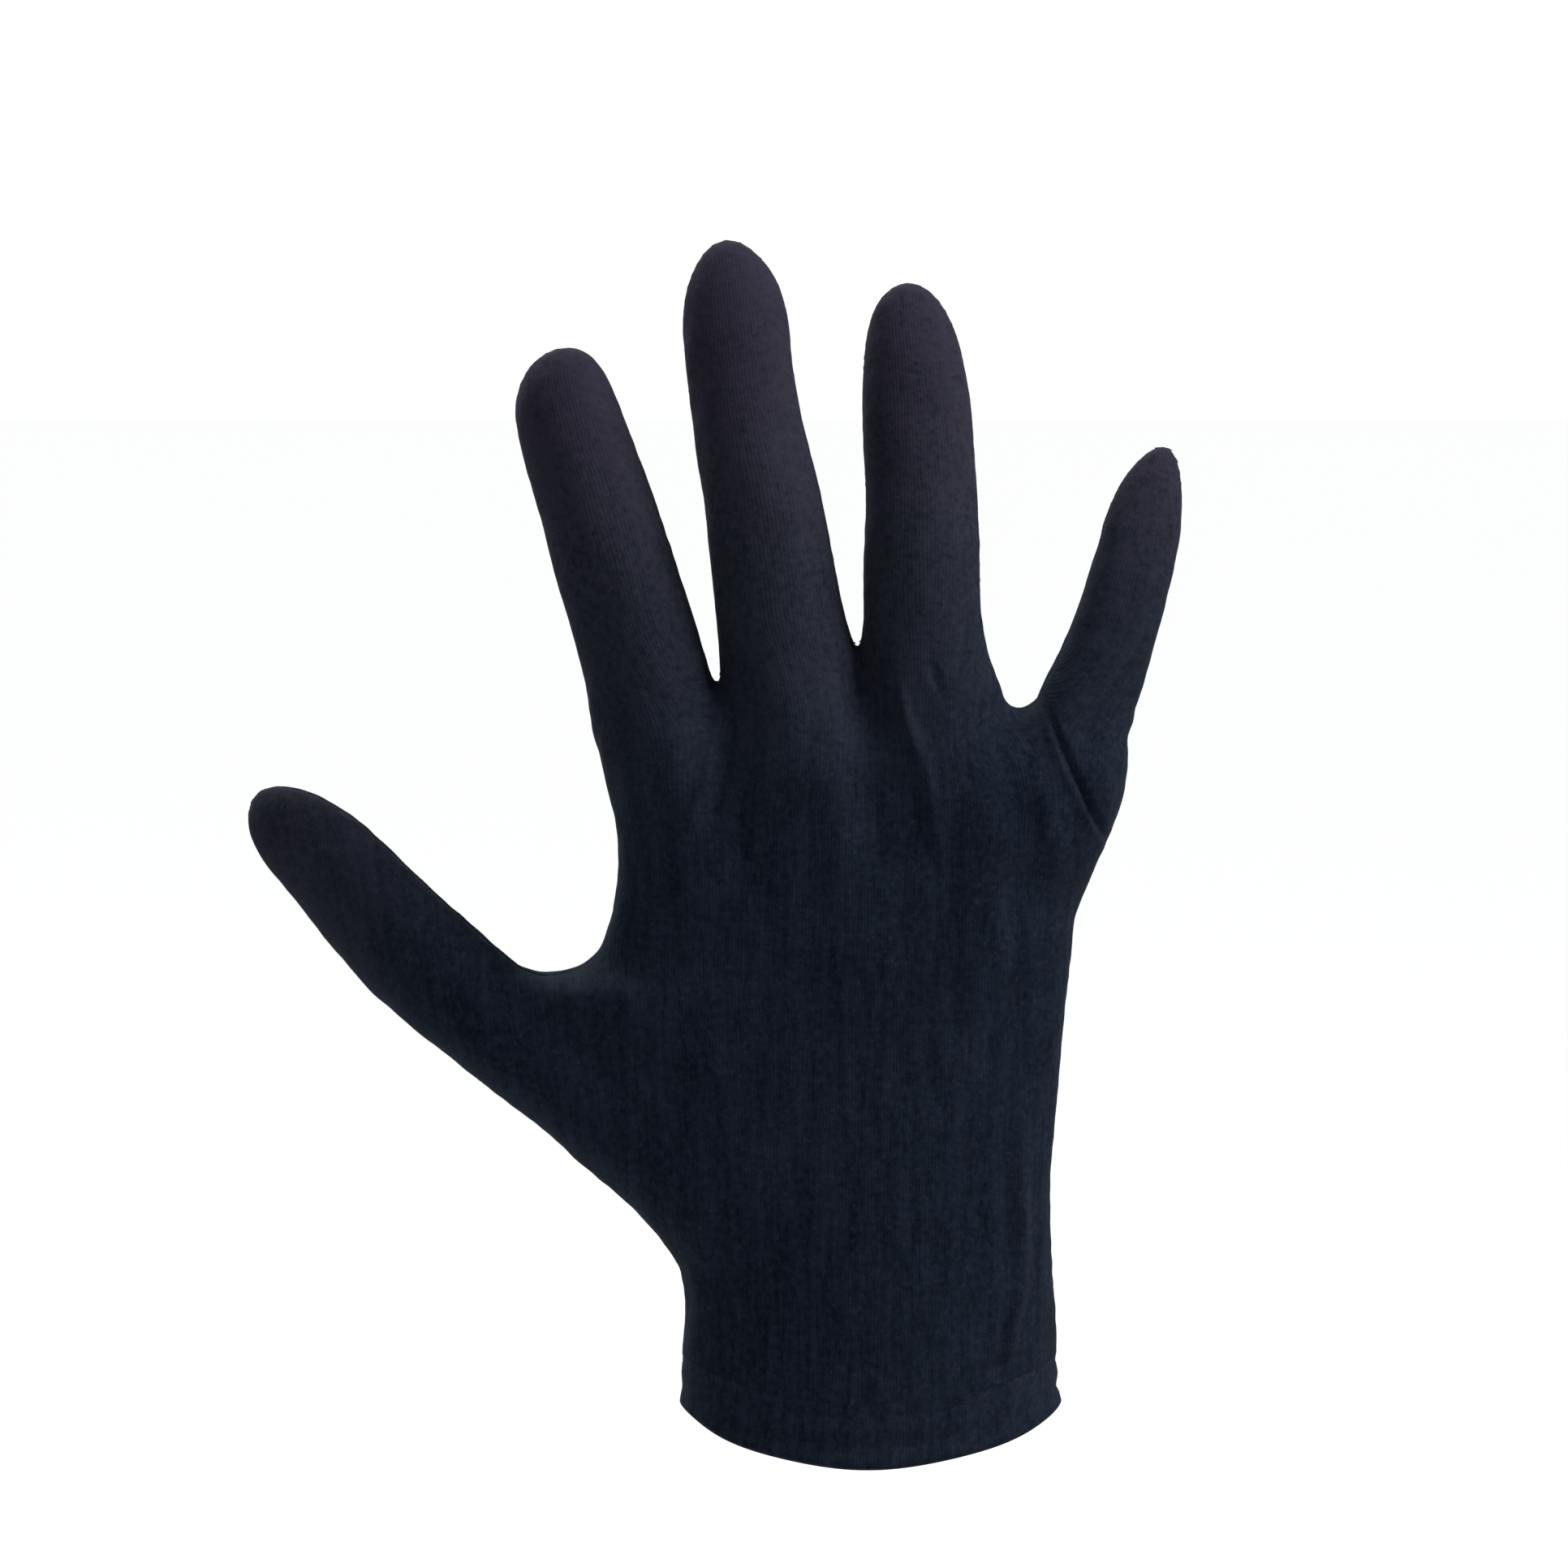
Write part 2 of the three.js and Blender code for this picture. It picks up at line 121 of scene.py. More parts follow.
# Columns: x, z, half width, back, palm. The last row is the tip, a point.
INDEX_ROWS = (
    (-31.5, 106.0, 10.0, 9.4, 9.6),
    (-36.4, 124.0, 11.6, 11.6, 11.6),
    (-40.4, 137.5, 11.7, 10.4, 10.8),
    (-43.8, 150.0, 11.1, 9.0, 9.8),
    (-47.6, 162.4, 11.0, 9.2, 9.2),
    (-51.3, 174.5, 10.5, 8.5, 8.9),
    (-55.2, 186.0, 10.1, 7.7, 8.4),
    (-57.3, 193.0, 9.4, 6.9, 7.6),
    (-58.2, 198.2, 7.4, 5.4, 6.0),
    (-58.4, 201.0, 4.8, 3.4, 3.8),
    (-58.3, 202.4, 0.0, 0.0, 0.0),
)
MIDDLE_ROWS = (
    (-10.5, 108.0, 11.0, 9.4, 9.8),
    (-13.0, 127.0, 12.0, 12.0, 12.0),
    (-14.6, 138.0, 12.9, 11.2, 11.4),
    (-15.3, 145.0, 12.7, 10.0, 10.6),
    (-16.6, 152.5, 11.7, 9.2, 10.1),
    (-18.2, 163.0, 11.3, 9.0, 9.8),
    (-20.2, 176.0, 10.7, 9.3, 9.3),
    (-22.6, 187.5, 10.1, 8.6, 8.9),
    (-24.2, 197.5, 9.8, 8.0, 8.6),
    (-25.1, 207.2, 9.9, 7.3, 8.0),
    (-25.8, 213.6, 8.8, 6.2, 6.9),
    (-26.5, 218.6, 6.0, 4.4, 4.9),
    (-27.1, 222.4, 0.0, 0.0, 0.0),
)
RING_ROWS = (
    (11.5, 108.0, 10.4, 9.2, 9.6),
    (11.2, 126.0, 12.0, 11.6, 11.6),
    (11.4, 138.0, 13.6, 10.6, 10.8),
    (9.9, 145.0, 12.1, 9.6, 10.2),
    (9.7, 152.0, 10.8, 8.9, 9.7),
    (9.6, 162.0, 10.8, 8.9, 9.2),
    (9.6, 174.0, 10.3, 8.6, 8.9),
    (9.0, 186.0, 10.2, 8.1, 8.6),
    (8.4, 195.5, 9.8, 7.6, 8.2),
    (7.8, 203.3, 8.8, 6.6, 7.3),
    (7.3, 209.2, 6.9, 5.1, 5.7),
    (7.0, 212.7, 4.5, 3.4, 3.8),
    (6.9, 214.6, 0.0, 0.0, 0.0),
)
LITTLE_ROWS = (
    (34.0, 108.0, 7.0, 7.6, 8.0),
    (36.6, 121.0, 9.6, 10.2, 10.4),
    (38.7, 132.0, 9.2, 9.2, 9.8),
    (41.0, 138.2, 8.9, 8.2, 9.0),
    (43.6, 144.3, 8.2, 7.4, 8.2),
    (46.8, 154.0, 7.6, 7.0, 7.6),
    (49.6, 163.5, 7.4, 6.7, 7.2),
    (51.2, 170.6, 7.1, 6.1, 6.6),
    (52.7, 176.4, 5.8, 4.8, 5.3),
    (54.1, 180.6, 3.9, 3.0, 3.4),
    (55.4, 184.0, 0.0, 0.0, 0.0),
)
THUMB_ROWS = (
    (-28.0, 42.5, 10.6, 12.6, 15.0),
    (-41.4, 55.2, 12.0, 12.8, 16.6),
    (-54.7, 65.8, 11.4, 11.8, 14.6),
    (-66.8, 74.4, 10.9, 10.4, 12.0),
    (-77.6, 82.3, 10.9, 9.8, 10.2),
    (-86.9, 90.1, 11.1, 9.5, 9.5),
    (-95.0, 98.2, 10.6, 8.8, 9.2),
    (-103.0, 106.7, 9.6, 7.8, 8.4),
    (-108.8, 111.2, 8.5, 6.6, 7.2),
    (-112.9, 114.4, 6.4, 4.9, 5.4),
    (-115.1, 116.3, 3.9, 2.9, 3.2),
    (-116.2, 117.3, 0.0, 0.0, 0.0),
)

# Columns: z, left, right, back, palm, power of the outline, which is 2 for an ellipse
HAND_LEVELS = (
    (-2.0, -35.9, 35.6, 22.4, 22.4, 2.1),
    (9.0, -35.5, 35.4, 22.0, 22.2, 2.1),
    (16.0, -34.9, 35.3, 21.6, 21.8, 2.1),
    (23.0, -34.6, 35.0, 21.0, 21.2, 2.1),
    (31.0, -35.6, 34.5, 20.2, 20.8, 2.1),
    (39.0, -39.6, 34.1, 18.9, 20.6, 2.15),
    (47.0, -44.0, 34.0, 18.0, 20.6, 2.2),
    (57.0, -50.0, 34.7, 17.2, 20.4, 2.25),
    (67.0, -57.0, 35.6, 16.4, 19.8, 2.3),
    (76.0, -63.0, 36.4, 15.8, 18.8, 2.4),
    (80.6, -66.0, 36.8, 15.6, 18.2, 2.4),
    (84.0, -64.0, 37.1, 15.4, 17.9, 2.4),
    (85.9, -56.6, 37.3, 15.3, 17.7, 2.4),
    (87.2, -53.4, 37.4, 15.3, 17.6, 2.4),
    (89.6, -50.9, 37.6, 15.2, 17.3, 2.45),
    (92.6, -49.5, 37.9, 15.1, 17.0, 2.5),
    (97.0, -48.3, 38.5, 14.9, 16.5, 2.5),
    (105.0, -47.0, 40.0, 14.7, 15.8, 2.5),
    (114.0, -46.7, 43.9, 14.1, 15.0, 2.5),
    (120.5, -47.7, 46.5, 13.3, 14.2, 2.5),
    (127.0, -49.1, 46.8, 11.8, 12.6, 2.4),
    (132.5, -50.6, 41.6, 9.0, 9.8, 2.3),
    (137.2, -49.0, 21.0, 5.0, 5.8, 2.2),
)

# Columns: x, z, turn, half length, half width, height
SWELLS = {
    Side.BACK: (
        Swell(-38.0, 126.0, -16, 12, 8.5, 1.0),
        Swell(-13.5, 131.0, -8, 12, 9.0, 1.2),
        Swell(11.0, 128.0, 0, 12, 8.5, 1.0),
        Swell(31.5, 118.0, 12, 11, 7.0, 1.1),
        Swell(20.8, 104.0, 2, 28, 5.0, 1.2),
        Swell(-5.0, 112.0, 0, 20, 5.0, 1.1),
        Swell(-26.0, 119.0, -12, 18, 4.5, -1.2),
        Swell(-1.0, 129.0, 0, 16, 4.5, -1.2),
        Swell(44.0, 120.0, 12, 12, 4.0, 0.7),
        Swell(-48.4, 166.0, -16, 7, 7.0, 0.6),
        Swell(-20.6, 177.0, -9, 7, 7.0, 0.6),
        Swell(9.5, 170.0, -2, 7, 7.0, 0.6),
        Swell(47.6, 157.0, 18, 6, 5.0, 0.5),
    ),
    Side.PALM: (
        Swell(-2.0, 92.0, 0, 26, 16.0, -3.6),
        Swell(-22.0, 80.0, -30, 28, 5.0, -2.2),
        Swell(2.0, 117.0, 80, 30, 4.5, -1.0),
        Swell(26.0, 66.0, 6, 28, 9.0, 1.6),
        Swell(0.0, 40.0, 90, 24, 4.5, -1.0),
    ),
}

# Columns: kind, one end, other end, half width, height, bow
FOLDS = {
    Side.BACK: (
        Fold(CREASE, (33.4, 134.8), (43.4, 112.6), 0.7, 1.15, 0.3),
        Fold(HOLLOW, (30.8, 133.0), (39.4, 114.0), 2.2, 0.5, 0.3),
        Fold(RIDGE, (35.8, 134.4), (43.6, 119.0), 2.6, 0.5, 0.3),
        Fold(RIDGE, (26.6, 131.0), (35.6, 106.0), 1.8, 0.5, -0.6),
        Fold(CREASE, (11.1, 146.0), (13.0, 139.5), 0.8, 0.7, 0.2),
        Fold(RIDGE, (5.4, 142.0), (9.8, 127.0), 1.0, 0.95, 0.5),
        Fold(RIDGE, (10.2, 127.4), (12.4, 110.5), 0.95, 0.85, 0.0),
        Fold(HOLLOW, (7.6, 124.0), (9.8, 112.0), 1.3, 0.5, 0.0),
        Fold(RIDGE, (-28.4, 133.4), (-34.6, 113.4), 0.9, 1.0, -0.6),
        Fold(HOLLOW, (-25.6, 131.0), (-29.8, 114.0), 1.7, 0.6, -0.4),
        Fold(RIDGE, (-29.2, 48.5), (-32.6, 27.0), 1.6, 1.0, 0.7),
        Fold(HOLLOW, (-26.2, 45.0), (-29.2, 27.0), 1.9, 0.6, 0.6),
        Fold(RIDGE, (28.4, 58.0), (28.6, 30.0), 1.5, 1.2, 0.5),
        Fold(HOLLOW, (25.2, 56.0), (25.6, 32.0), 1.6, 0.45, 0.5),
        Fold(RIDGE, (23.0, 40.0), (20.6, 26.0), 1.2, 0.4, 0.4),
        Fold(RIDGE, (29.0, 30.5), (25.6, 15.2), 1.2, 1.2, 0.6),
        Fold(CREASE, (27.0, 25.5), (22.8, 14.6), 0.9, 0.6, 0.5),
        Fold(CREASE, (29.4, 15.4), (18.4, 14.6), 1.0, 0.6, 0.3),
        Fold(RIDGE, (-110.0, 109.6), (-100.0, 108.0), 1.6, 0.45, 0.5),
        Fold(HOLLOW, (-93.0, 92.6), (-81.5, 89.6), 2.2, 0.6, 0.4),
        Fold(CREASE, (-77.0, 77.3), (-66.6, 75.4), 0.9, 0.5, 0.5),
        Fold(CREASE, (-71.6, 73.0), (-66.2, 69.0), 0.9, 0.45, 0.3),
        Fold(RIDGE, (-56.0, 84.0), (-36.0, 60.0), 2.2, 0.3, 1.5),
        Fold(RIDGE, (-49.0, 88.0), (-30.0, 72.0), 2.0, 0.25, 1.5),
    ),
    Side.PALM: (
        Fold(CREASE, (-22.0, 104.0), (-24.0, 48.0), 1.3, 1.2, -9.0),
        Fold(CREASE, (-40.0, 104.0), (22.0, 92.0), 1.2, 0.9, 4.0),
        Fold(CREASE, (38.0, 110.0), (-14.0, 120.0), 1.2, 0.9, -5.0),
        Fold(RIDGE, (-46.0, 84.0), (-26.0, 62.0), 1.6, 0.8, 2.5),
        Fold(RIDGE, (-50.0, 78.0), (-34.0, 58.0), 1.4, 0.7, 2.0),
        Fold(CREASE, (-22.0, 34.0), (20.0, 33.0), 1.1, 0.8, 1.5),
        Fold(RIDGE, (-16.0, 30.0), (24.0, 27.5), 1.5, 0.6, -1.0),
        Fold(RIDGE, (28.0, 60.0), (24.0, 30.0), 1.5, 0.7, 1.0),
    ),
}
JOINT_WRINKLES = {
    Side.BACK: Wrinkles(HOLLOW, 0.9, 0.16, 0.12, 0.7),
    Side.PALM: Wrinkles(CREASE, 1.0, 0.8, 0.36, 0.8),
}


class Places(NamedTuple):
    """Places on the glove before the hand is bent, in millimetres."""

    x: Array
    y: Array
    z: Array


class Ramp(NamedTuple):
    """A smooth rise from 0 at start to 1 at start + over. With over below 0 it rises downwards."""

    start: float
    over: float

    def at(self, values: Array) -> Array:
        """Gives the rise at some values."""
        held = np.clip((values - self.start) / self.over, 0.0, 1.0)
        return held * held * (3.0 - 2.0 * held)


def bell(values: Array, width: Array | float) -> Array:
    """Gives a bell curve: 1 at 0, falling off over the width."""
    return np.exp(-((values / width) ** 2))


def smooth_min(first: Array, second: Array, radius: float) -> Array:
    """Gives the lesser of two distances, joined smoothly where they differ by less than the radius."""
    overlap = np.maximum(radius - np.abs(first - second), 0.0) / radius
    return np.minimum(first, second) - 0.25 * radius * overlap * overlap


def face_edges(faces: Array) -> Array:
    """Gives each edge of four-sided faces once, as rows of two point numbers."""
    edges = np.concatenate([faces[:, (corner, (corner + 1) % 4)] for corner in range(4)])
    return np.unique(np.sort(edges, axis=1), axis=0)


class ArcChart:
    """Distance along the cloth across half a section, by station and by angle round the section."""

    STEPS = 121

    def __init__(
        self, stations: Array, middle: Array, half_width: Array, depth: Array, power: Array
    ) -> None:
        """Measures every station's half section.

        Args:
            stations: evenly spaced places of the sections.
            middle: where the distance is 0, measured across from the section's centre.
            half_width: half the width of each section.
            depth: depth of each section on this side.
            power: power of each section's outline.
        """
        angle = np.linspace(0.0, math.pi, self.STEPS)
        cosine, sine = np.cos(angle), np.abs(np.sin(angle))
        exponent = (2.0 / power)[:, None]
        across = half_width[:, None] * np.sign(cosine) * np.abs(cosine) ** exponent
        deep = depth[:, None] * sine**exponent
        pieces = np.hypot(np.diff(across, axis=1), np.diff(deep, axis=1))
        run = np.concatenate((np.zeros((len(stations), 1)), np.cumsum(pieces, axis=1)), axis=1)
        starts = [np.interp(-m, -a, r) for m, a, r in zip(middle, across, run)]
        self.table = np.array(starts)[:, None] - run
        self.first = stations[0]
        self.step = stations[1] - stations[0]

    def read(self, station: Array, angle: Array) -> Array:
        """Looks the distance up.

        Args:
            station: place of each point along the sections.
            angle: its angle round the section, 0 towards the positive side and pi towards the negative.

        Returns:
            The signed distance along the cloth.
        """
        row = np.clip((station - self.first) / self.step, 0.0, len(self.table) - 1.001)
        column = np.clip(angle / math.pi * (self.STEPS - 1), 0.0, self.STEPS - 1.001)
        i, j = row.astype(int), column.astype(int)
        a, b = row - i, column - j
        low = self.table[i, j] * (1 - b) + self.table[i, j + 1] * b
        high = self.table[i + 1, j] * (1 - b) + self.table[i + 1, j + 1] * b
        return low * (1 - a) + high * a


class Sampled:
    """A form whose sizes are looked up by station, which is a place along it."""

    stations: Array
    softness: float

    def smooth(self, station: Array, values: Array) -> Array:
        """Makes a lookup with its corners rounded.

        Args:
            station: where the values are.
            values: the values there.

        Returns:
            A value for each of the form's stations.
        """
        reach = int(3.0 * self.softness / TABLE_STEP)
        offsets = np.arange(-reach, reach + 1) * TABLE_STEP
        weights = np.exp(-0.5 * (offsets / self.softness) ** 2)
        weights /= weights.sum()
        sampled = np.interp(self.stations, station, values)
        ahead = 2.0 * sampled[0] - sampled[reach:0:-1]
        behind = 2.0 * sampled[-1] - sampled[-2 : -reach - 2 : -1]
        return np.convolve(np.concatenate((ahead, sampled, behind)), weights, mode="valid")

    def at(self, lookup: Array, station: Array | float) -> Array:
        """Reads a lookup at some stations."""
        return np.interp(station, self.stations, lookup)


@dataclass
class Limb(Sampled):
    """A finger or the thumb as a round-ended tube about a nearly straight middle line."""

    rows: tuple[tuple[float, ...], ...]
    joints: tuple[float, ...]
    pattern_half_width: float = 12.7
    match_at: float = 26.0
    # How pale the tip turns: worn knit, and painted light on the fingertip as well
    tip_wear_and_light: float = 1.0
    wear_and_light_from: float = 52.0
    cloth_rounds: Ramp = Ramp(30.0, 26.0)
    grain_reach: float = 11.0
    grain_reach_lost: float = 6.0
    grain_narrows: Ramp = Ramp(HAND_TOP, 20.0)
    least_nearness: float = 1e-12
    softness: float = 2.0
    base_overrun: float = 30.0
    past_tip: float = 15.0
    least_half_width: float = 0.3
    least_quarter: float = 0.1
    most_bulge: float = 2.0
    core: float = 5.0

    def __post_init__(self) -> None:
        """Works out the limb's own straight frame and its smooth lookups."""
        columns = np.array(self.rows)
        places, width, depths = columns[:, :2], columns[:, 2], columns[:, 3:]
        self.base = places[0]
        span = places[-1] - places[0]
        self.length = float(np.hypot(*span))
        self.along = span / self.length
        self.across = np.array((self.along[1], -self.along[0]))
        station = (places - self.base) @ self.along
        offset = (places - self.base) @ self.across
        square = width**2
        slope = (square[-1] - square[-2]) / (station[-1] - station[-2])
        beyond = station[-1] + self.past_tip
        beyond_square = square[-1] + slope * self.past_tip
        self.stations = np.arange(-self.base_overrun, beyond, TABLE_STEP)
        self.square = self.smooth(np.append(station, beyond), np.append(square, beyond_square))
        self.slope = np.gradient(self.square, TABLE_STEP)
        self.centre = self.smooth(station, offset)
        ratios = (depths[:-1] / width[:-1, None]).T
        self.ratios = {side: self.smooth(station[:-1], ratio) for side, ratio in zip(Side, ratios)}
        half_width = np.sqrt(np.maximum(self.square, self.least_half_width**2))
        bulge = np.gradient(half_width * self.ratios[Side.BACK], TABLE_STEP)
        self.run = np.cumsum(np.sqrt(1.0 + np.minimum(bulge**2, self.most_bulge**2))) * TABLE_STEP
        middle = np.zeros_like(self.stations)
        power = np.full_like(self.stations, 2.0)
        self.charts = {
            side: ArcChart(self.stations, middle, half_width, half_width * ratio, power)
            for side, ratio in self.ratios.items()
        }

    def local(self, spots: Places) -> tuple[Array, Array]:
        """Turns places on the glove into this limb's own.

        Args:
            spots: the places.

        Returns:
            The distance along the limb and the distance across from its middle line.
        """
        right, up = spots.x - self.base[0], spots.z - self.base[1]
        station = right * self.along[0] + up * self.along[1]
        offset = right * self.across[0] + up * self.across[1]
        return station, offset - self.at(self.centre, station)

    def place(self, station: float, offset: float) -> tuple[float, float]:
        """Gives the x and z of a place in the limb's own frame."""
        x, z = self.base + self.along * station + self.across * (self.at(self.centre, station) + offset)
        return float(x), float(z)

    def half_width(self, station: float) -> float:
        """Gives half the limb's width at a station."""
        return math.sqrt(max(self.at(self.square, station), self.least_half_width**2))

    def distance(self, spots: Places) -> Array:
        """Nearly the distance outside the limb, negative inside.

        Args:
            spots: the places.

        Returns:
            The distance, in millimetres.
        """
        station, offset = self.local(spots)
        square, slope = self.at(self.square, station), self.at(self.slope, station)
        back, palm = (self.at(ratio, station) for ratio in self.ratios.values())
        ratio = np.where(spots.y < 0.0, back, palm)
        deep = spots.y / ratio
        under_base = np.maximum(-station, 0.0)
        level = offset * offset + deep * deep + under_base * under_base - square
        steepness = 4.0 * (offset * offset + (deep / ratio) ** 2 + under_base * under_base)
        return level / np.sqrt(steepness + slope * slope + self.core * self.core)

    def cloth(self, spots: Places, side: Side) -> tuple[Array, Array]:
        """Places on the flat cloth, whose wales run along the finger and are stretched round it.

        Args:
            spots: the places.
            side: which panel they are on.

        Returns:
            The distances across and along the cloth from the matching place on the hand, in millimetres.
        """
        station, offset = self.local(spots)
        chart = self.charts[side]
        angle = np.arctan2(np.abs(spots.y) / self.at(self.ratios[side], station), offset)
        quarter = np.maximum(chart.read(station, np.zeros_like(station)), self.least_quarter)
        stretch = np.minimum(self.pattern_half_width / quarter, 1.0)
        round_share = self.cloth_rounds.at(station)
        across = offset * (1.0 - round_share) + chart.read(station, angle) * stretch * round_share
        return across, self.at(self.run, station) - self.at(self.run, self.match_at)

    def nearness(self, spots: Places) -> Array:
        """How near each place is to the limb's middle line.

        Args:
            spots: the places.

        Returns:
            1 on the line, falling off on both sides, and faster up on the fingers.
        """
        _, offset = self.local(spots)
        reach = self.grain_reach - self.grain_reach_lost * self.grain_narrows.at(spots.z)
        return bell(offset, reach) + self.least_nearness

    def wear_and_light_share(self, spots: Places) -> Array:
        """Rises from 0 at the limb's base to its full share at the tip: knit worn pale by rubbing, with
        painted light on the fingertip as well.
        """
        station, _ = self.local(spots)
        return self.tip_wear_and_light * Ramp(self.wear_and_light_from, self.length - self.wear_and_light_from).at(station)


@dataclass
class Thumb(Limb):
    """The thumb, cut in one with the hand's panels, so that the cloth's grain crosses it."""

    grain_turn: float = 10.0
    cloth_turns: Ramp = Ramp(0.0, 50.0)
    cloth_fades_over: float = 14.0

    def cloth(self, spots: Places, side: Side) -> tuple[Array, Array]:
        """Places on the flat cloth, turned a little from upright.

        Args:
            spots: the places.
            side: which panel they are on, which makes no difference here.

        Returns:
            The distances across and along the cloth from the matching place on the hand, in millimetres.
        """
        match_x, match_z = self.place(self.match_at, 0.0)
        turn = math.radians(self.grain_turn)
        right, up = spots.x - match_x, spots.z - match_z
        across = right * math.cos(turn) + up * math.sin(turn)
        return across, up * math.cos(turn) - right * math.sin(turn)

    def share(self, spots: Places) -> Array:
        """How far the cloth at each place belongs to the thumb.

        Args:
            spots: the places.

        Returns:
            Shares from 0 to 1.
        """
        station, _ = self.local(spots)
        outside = np.maximum(self.distance(spots), 0.0)
        return self.cloth_turns.at(station) * bell(outside, self.cloth_fades_over)


@dataclass
class Palm(Sampled):
    """The hand and wrist as a stack of level sections."""

    levels: tuple[tuple[float, ...], ...] = HAND_LEVELS
    softness: float = 1.1
    low: float = -10.0
    high: float = 160.0
    least_reach: float = 0.05
    flat_beside: Ramp = Ramp(-12.0, -24.0)
    flat_above: Ramp = Ramp(30.0, 22.0)
    flat_below: Ramp = Ramp(118.0, -26.0)
    cloth_top: float = 118.0

    def __post_init__(self) -> None:
        """Makes the smooth lookups of the sections."""
        heights, *columns = np.array(self.levels).T
        self.stations = np.arange(self.low, self.high, TABLE_STEP)
        left, right, back, palm, self.power = (self.smooth(heights, column) for column in columns)
        self.centre = (left + right) / 2
        self.half_width = (right - left) / 2
        self.depth = {Side.BACK: back, Side.PALM: palm}
        self.charts = {
            side: ArcChart(self.stations, -self.centre, self.half_width, depth, self.power)
            for side, depth in self.depth.items()
        }

    def distance(self, spots: Places) -> Array:
        """Nearly the distance outside the hand, negative inside.

        Args:
            spots: the places.

        Returns:
            The distance, in millimetres.
        """
        centre, half_width, power = (self.at(v, spots.z) for v in (self.centre, self.half_width, self.power))
        back, palm = (self.at(depth, spots.z) for depth in self.depth.values())
        depth = np.where(spots.y < 0.0, back, palm)
        offset = (spots.x - centre) / half_width
        wide = np.abs(offset) + TINY
        deep = np.abs(spots.y) / depth + TINY
        wide_part = wide ** (power - 1.0)
        deep_part = deep ** (power - 1.0)
        reach = np.maximum((wide_part * wide + deep_part * deep) ** (1.0 / power), self.least_reach)
        shrink = reach ** (1.0 - power)
        centre_slope = self.at(np.gradient(self.centre, TABLE_STEP), spots.z)
        width_slope = self.at(np.gradient(self.half_width, TABLE_STEP), spots.z)
        slope_x = shrink * wide_part / half_width
        slope_y = shrink * deep_part / depth
        slope_z = shrink * wide_part * (np.sign(offset) * centre_slope + wide * width_slope) / half_width
        distance = (reach - 1.0) / np.sqrt(slope_x**2 + slope_y**2 + slope_z**2 + TINY)
        return -smooth_min(-distance, HAND_TOP - spots.z, HAND_TOP_ROUND)

    def cloth(self, spots: Places, side: Side) -> tuple[Array, Array]:
        """Places on the flat cloth: the distance across it from the line x = 0, and the height.

        Args:
            spots: the places.
            side: which panel they are on.

        Returns:
            The distances across and along the cloth, in millimetres.
        """
        level = np.minimum(spots.z, self.cloth_top)
        power = self.at(self.power, level)
        offset = (spots.x - self.at(self.centre, level)) / self.at(self.half_width, level)
        deep = np.abs(spots.y) / self.at(self.depth[side], level)
        angle = np.arctan2(deep ** (power / 2), np.sign(offset) * np.abs(offset) ** (power / 2))
        across = self.charts[side].read(level, angle)
        beside_thumb = self.flat_above.at(spots.z) * self.flat_below.at(spots.z)
        flat_share = beside_thumb * self.flat_beside.at(spots.x)
        return across * (1.0 - flat_share) + spots.x * flat_share, spots.z


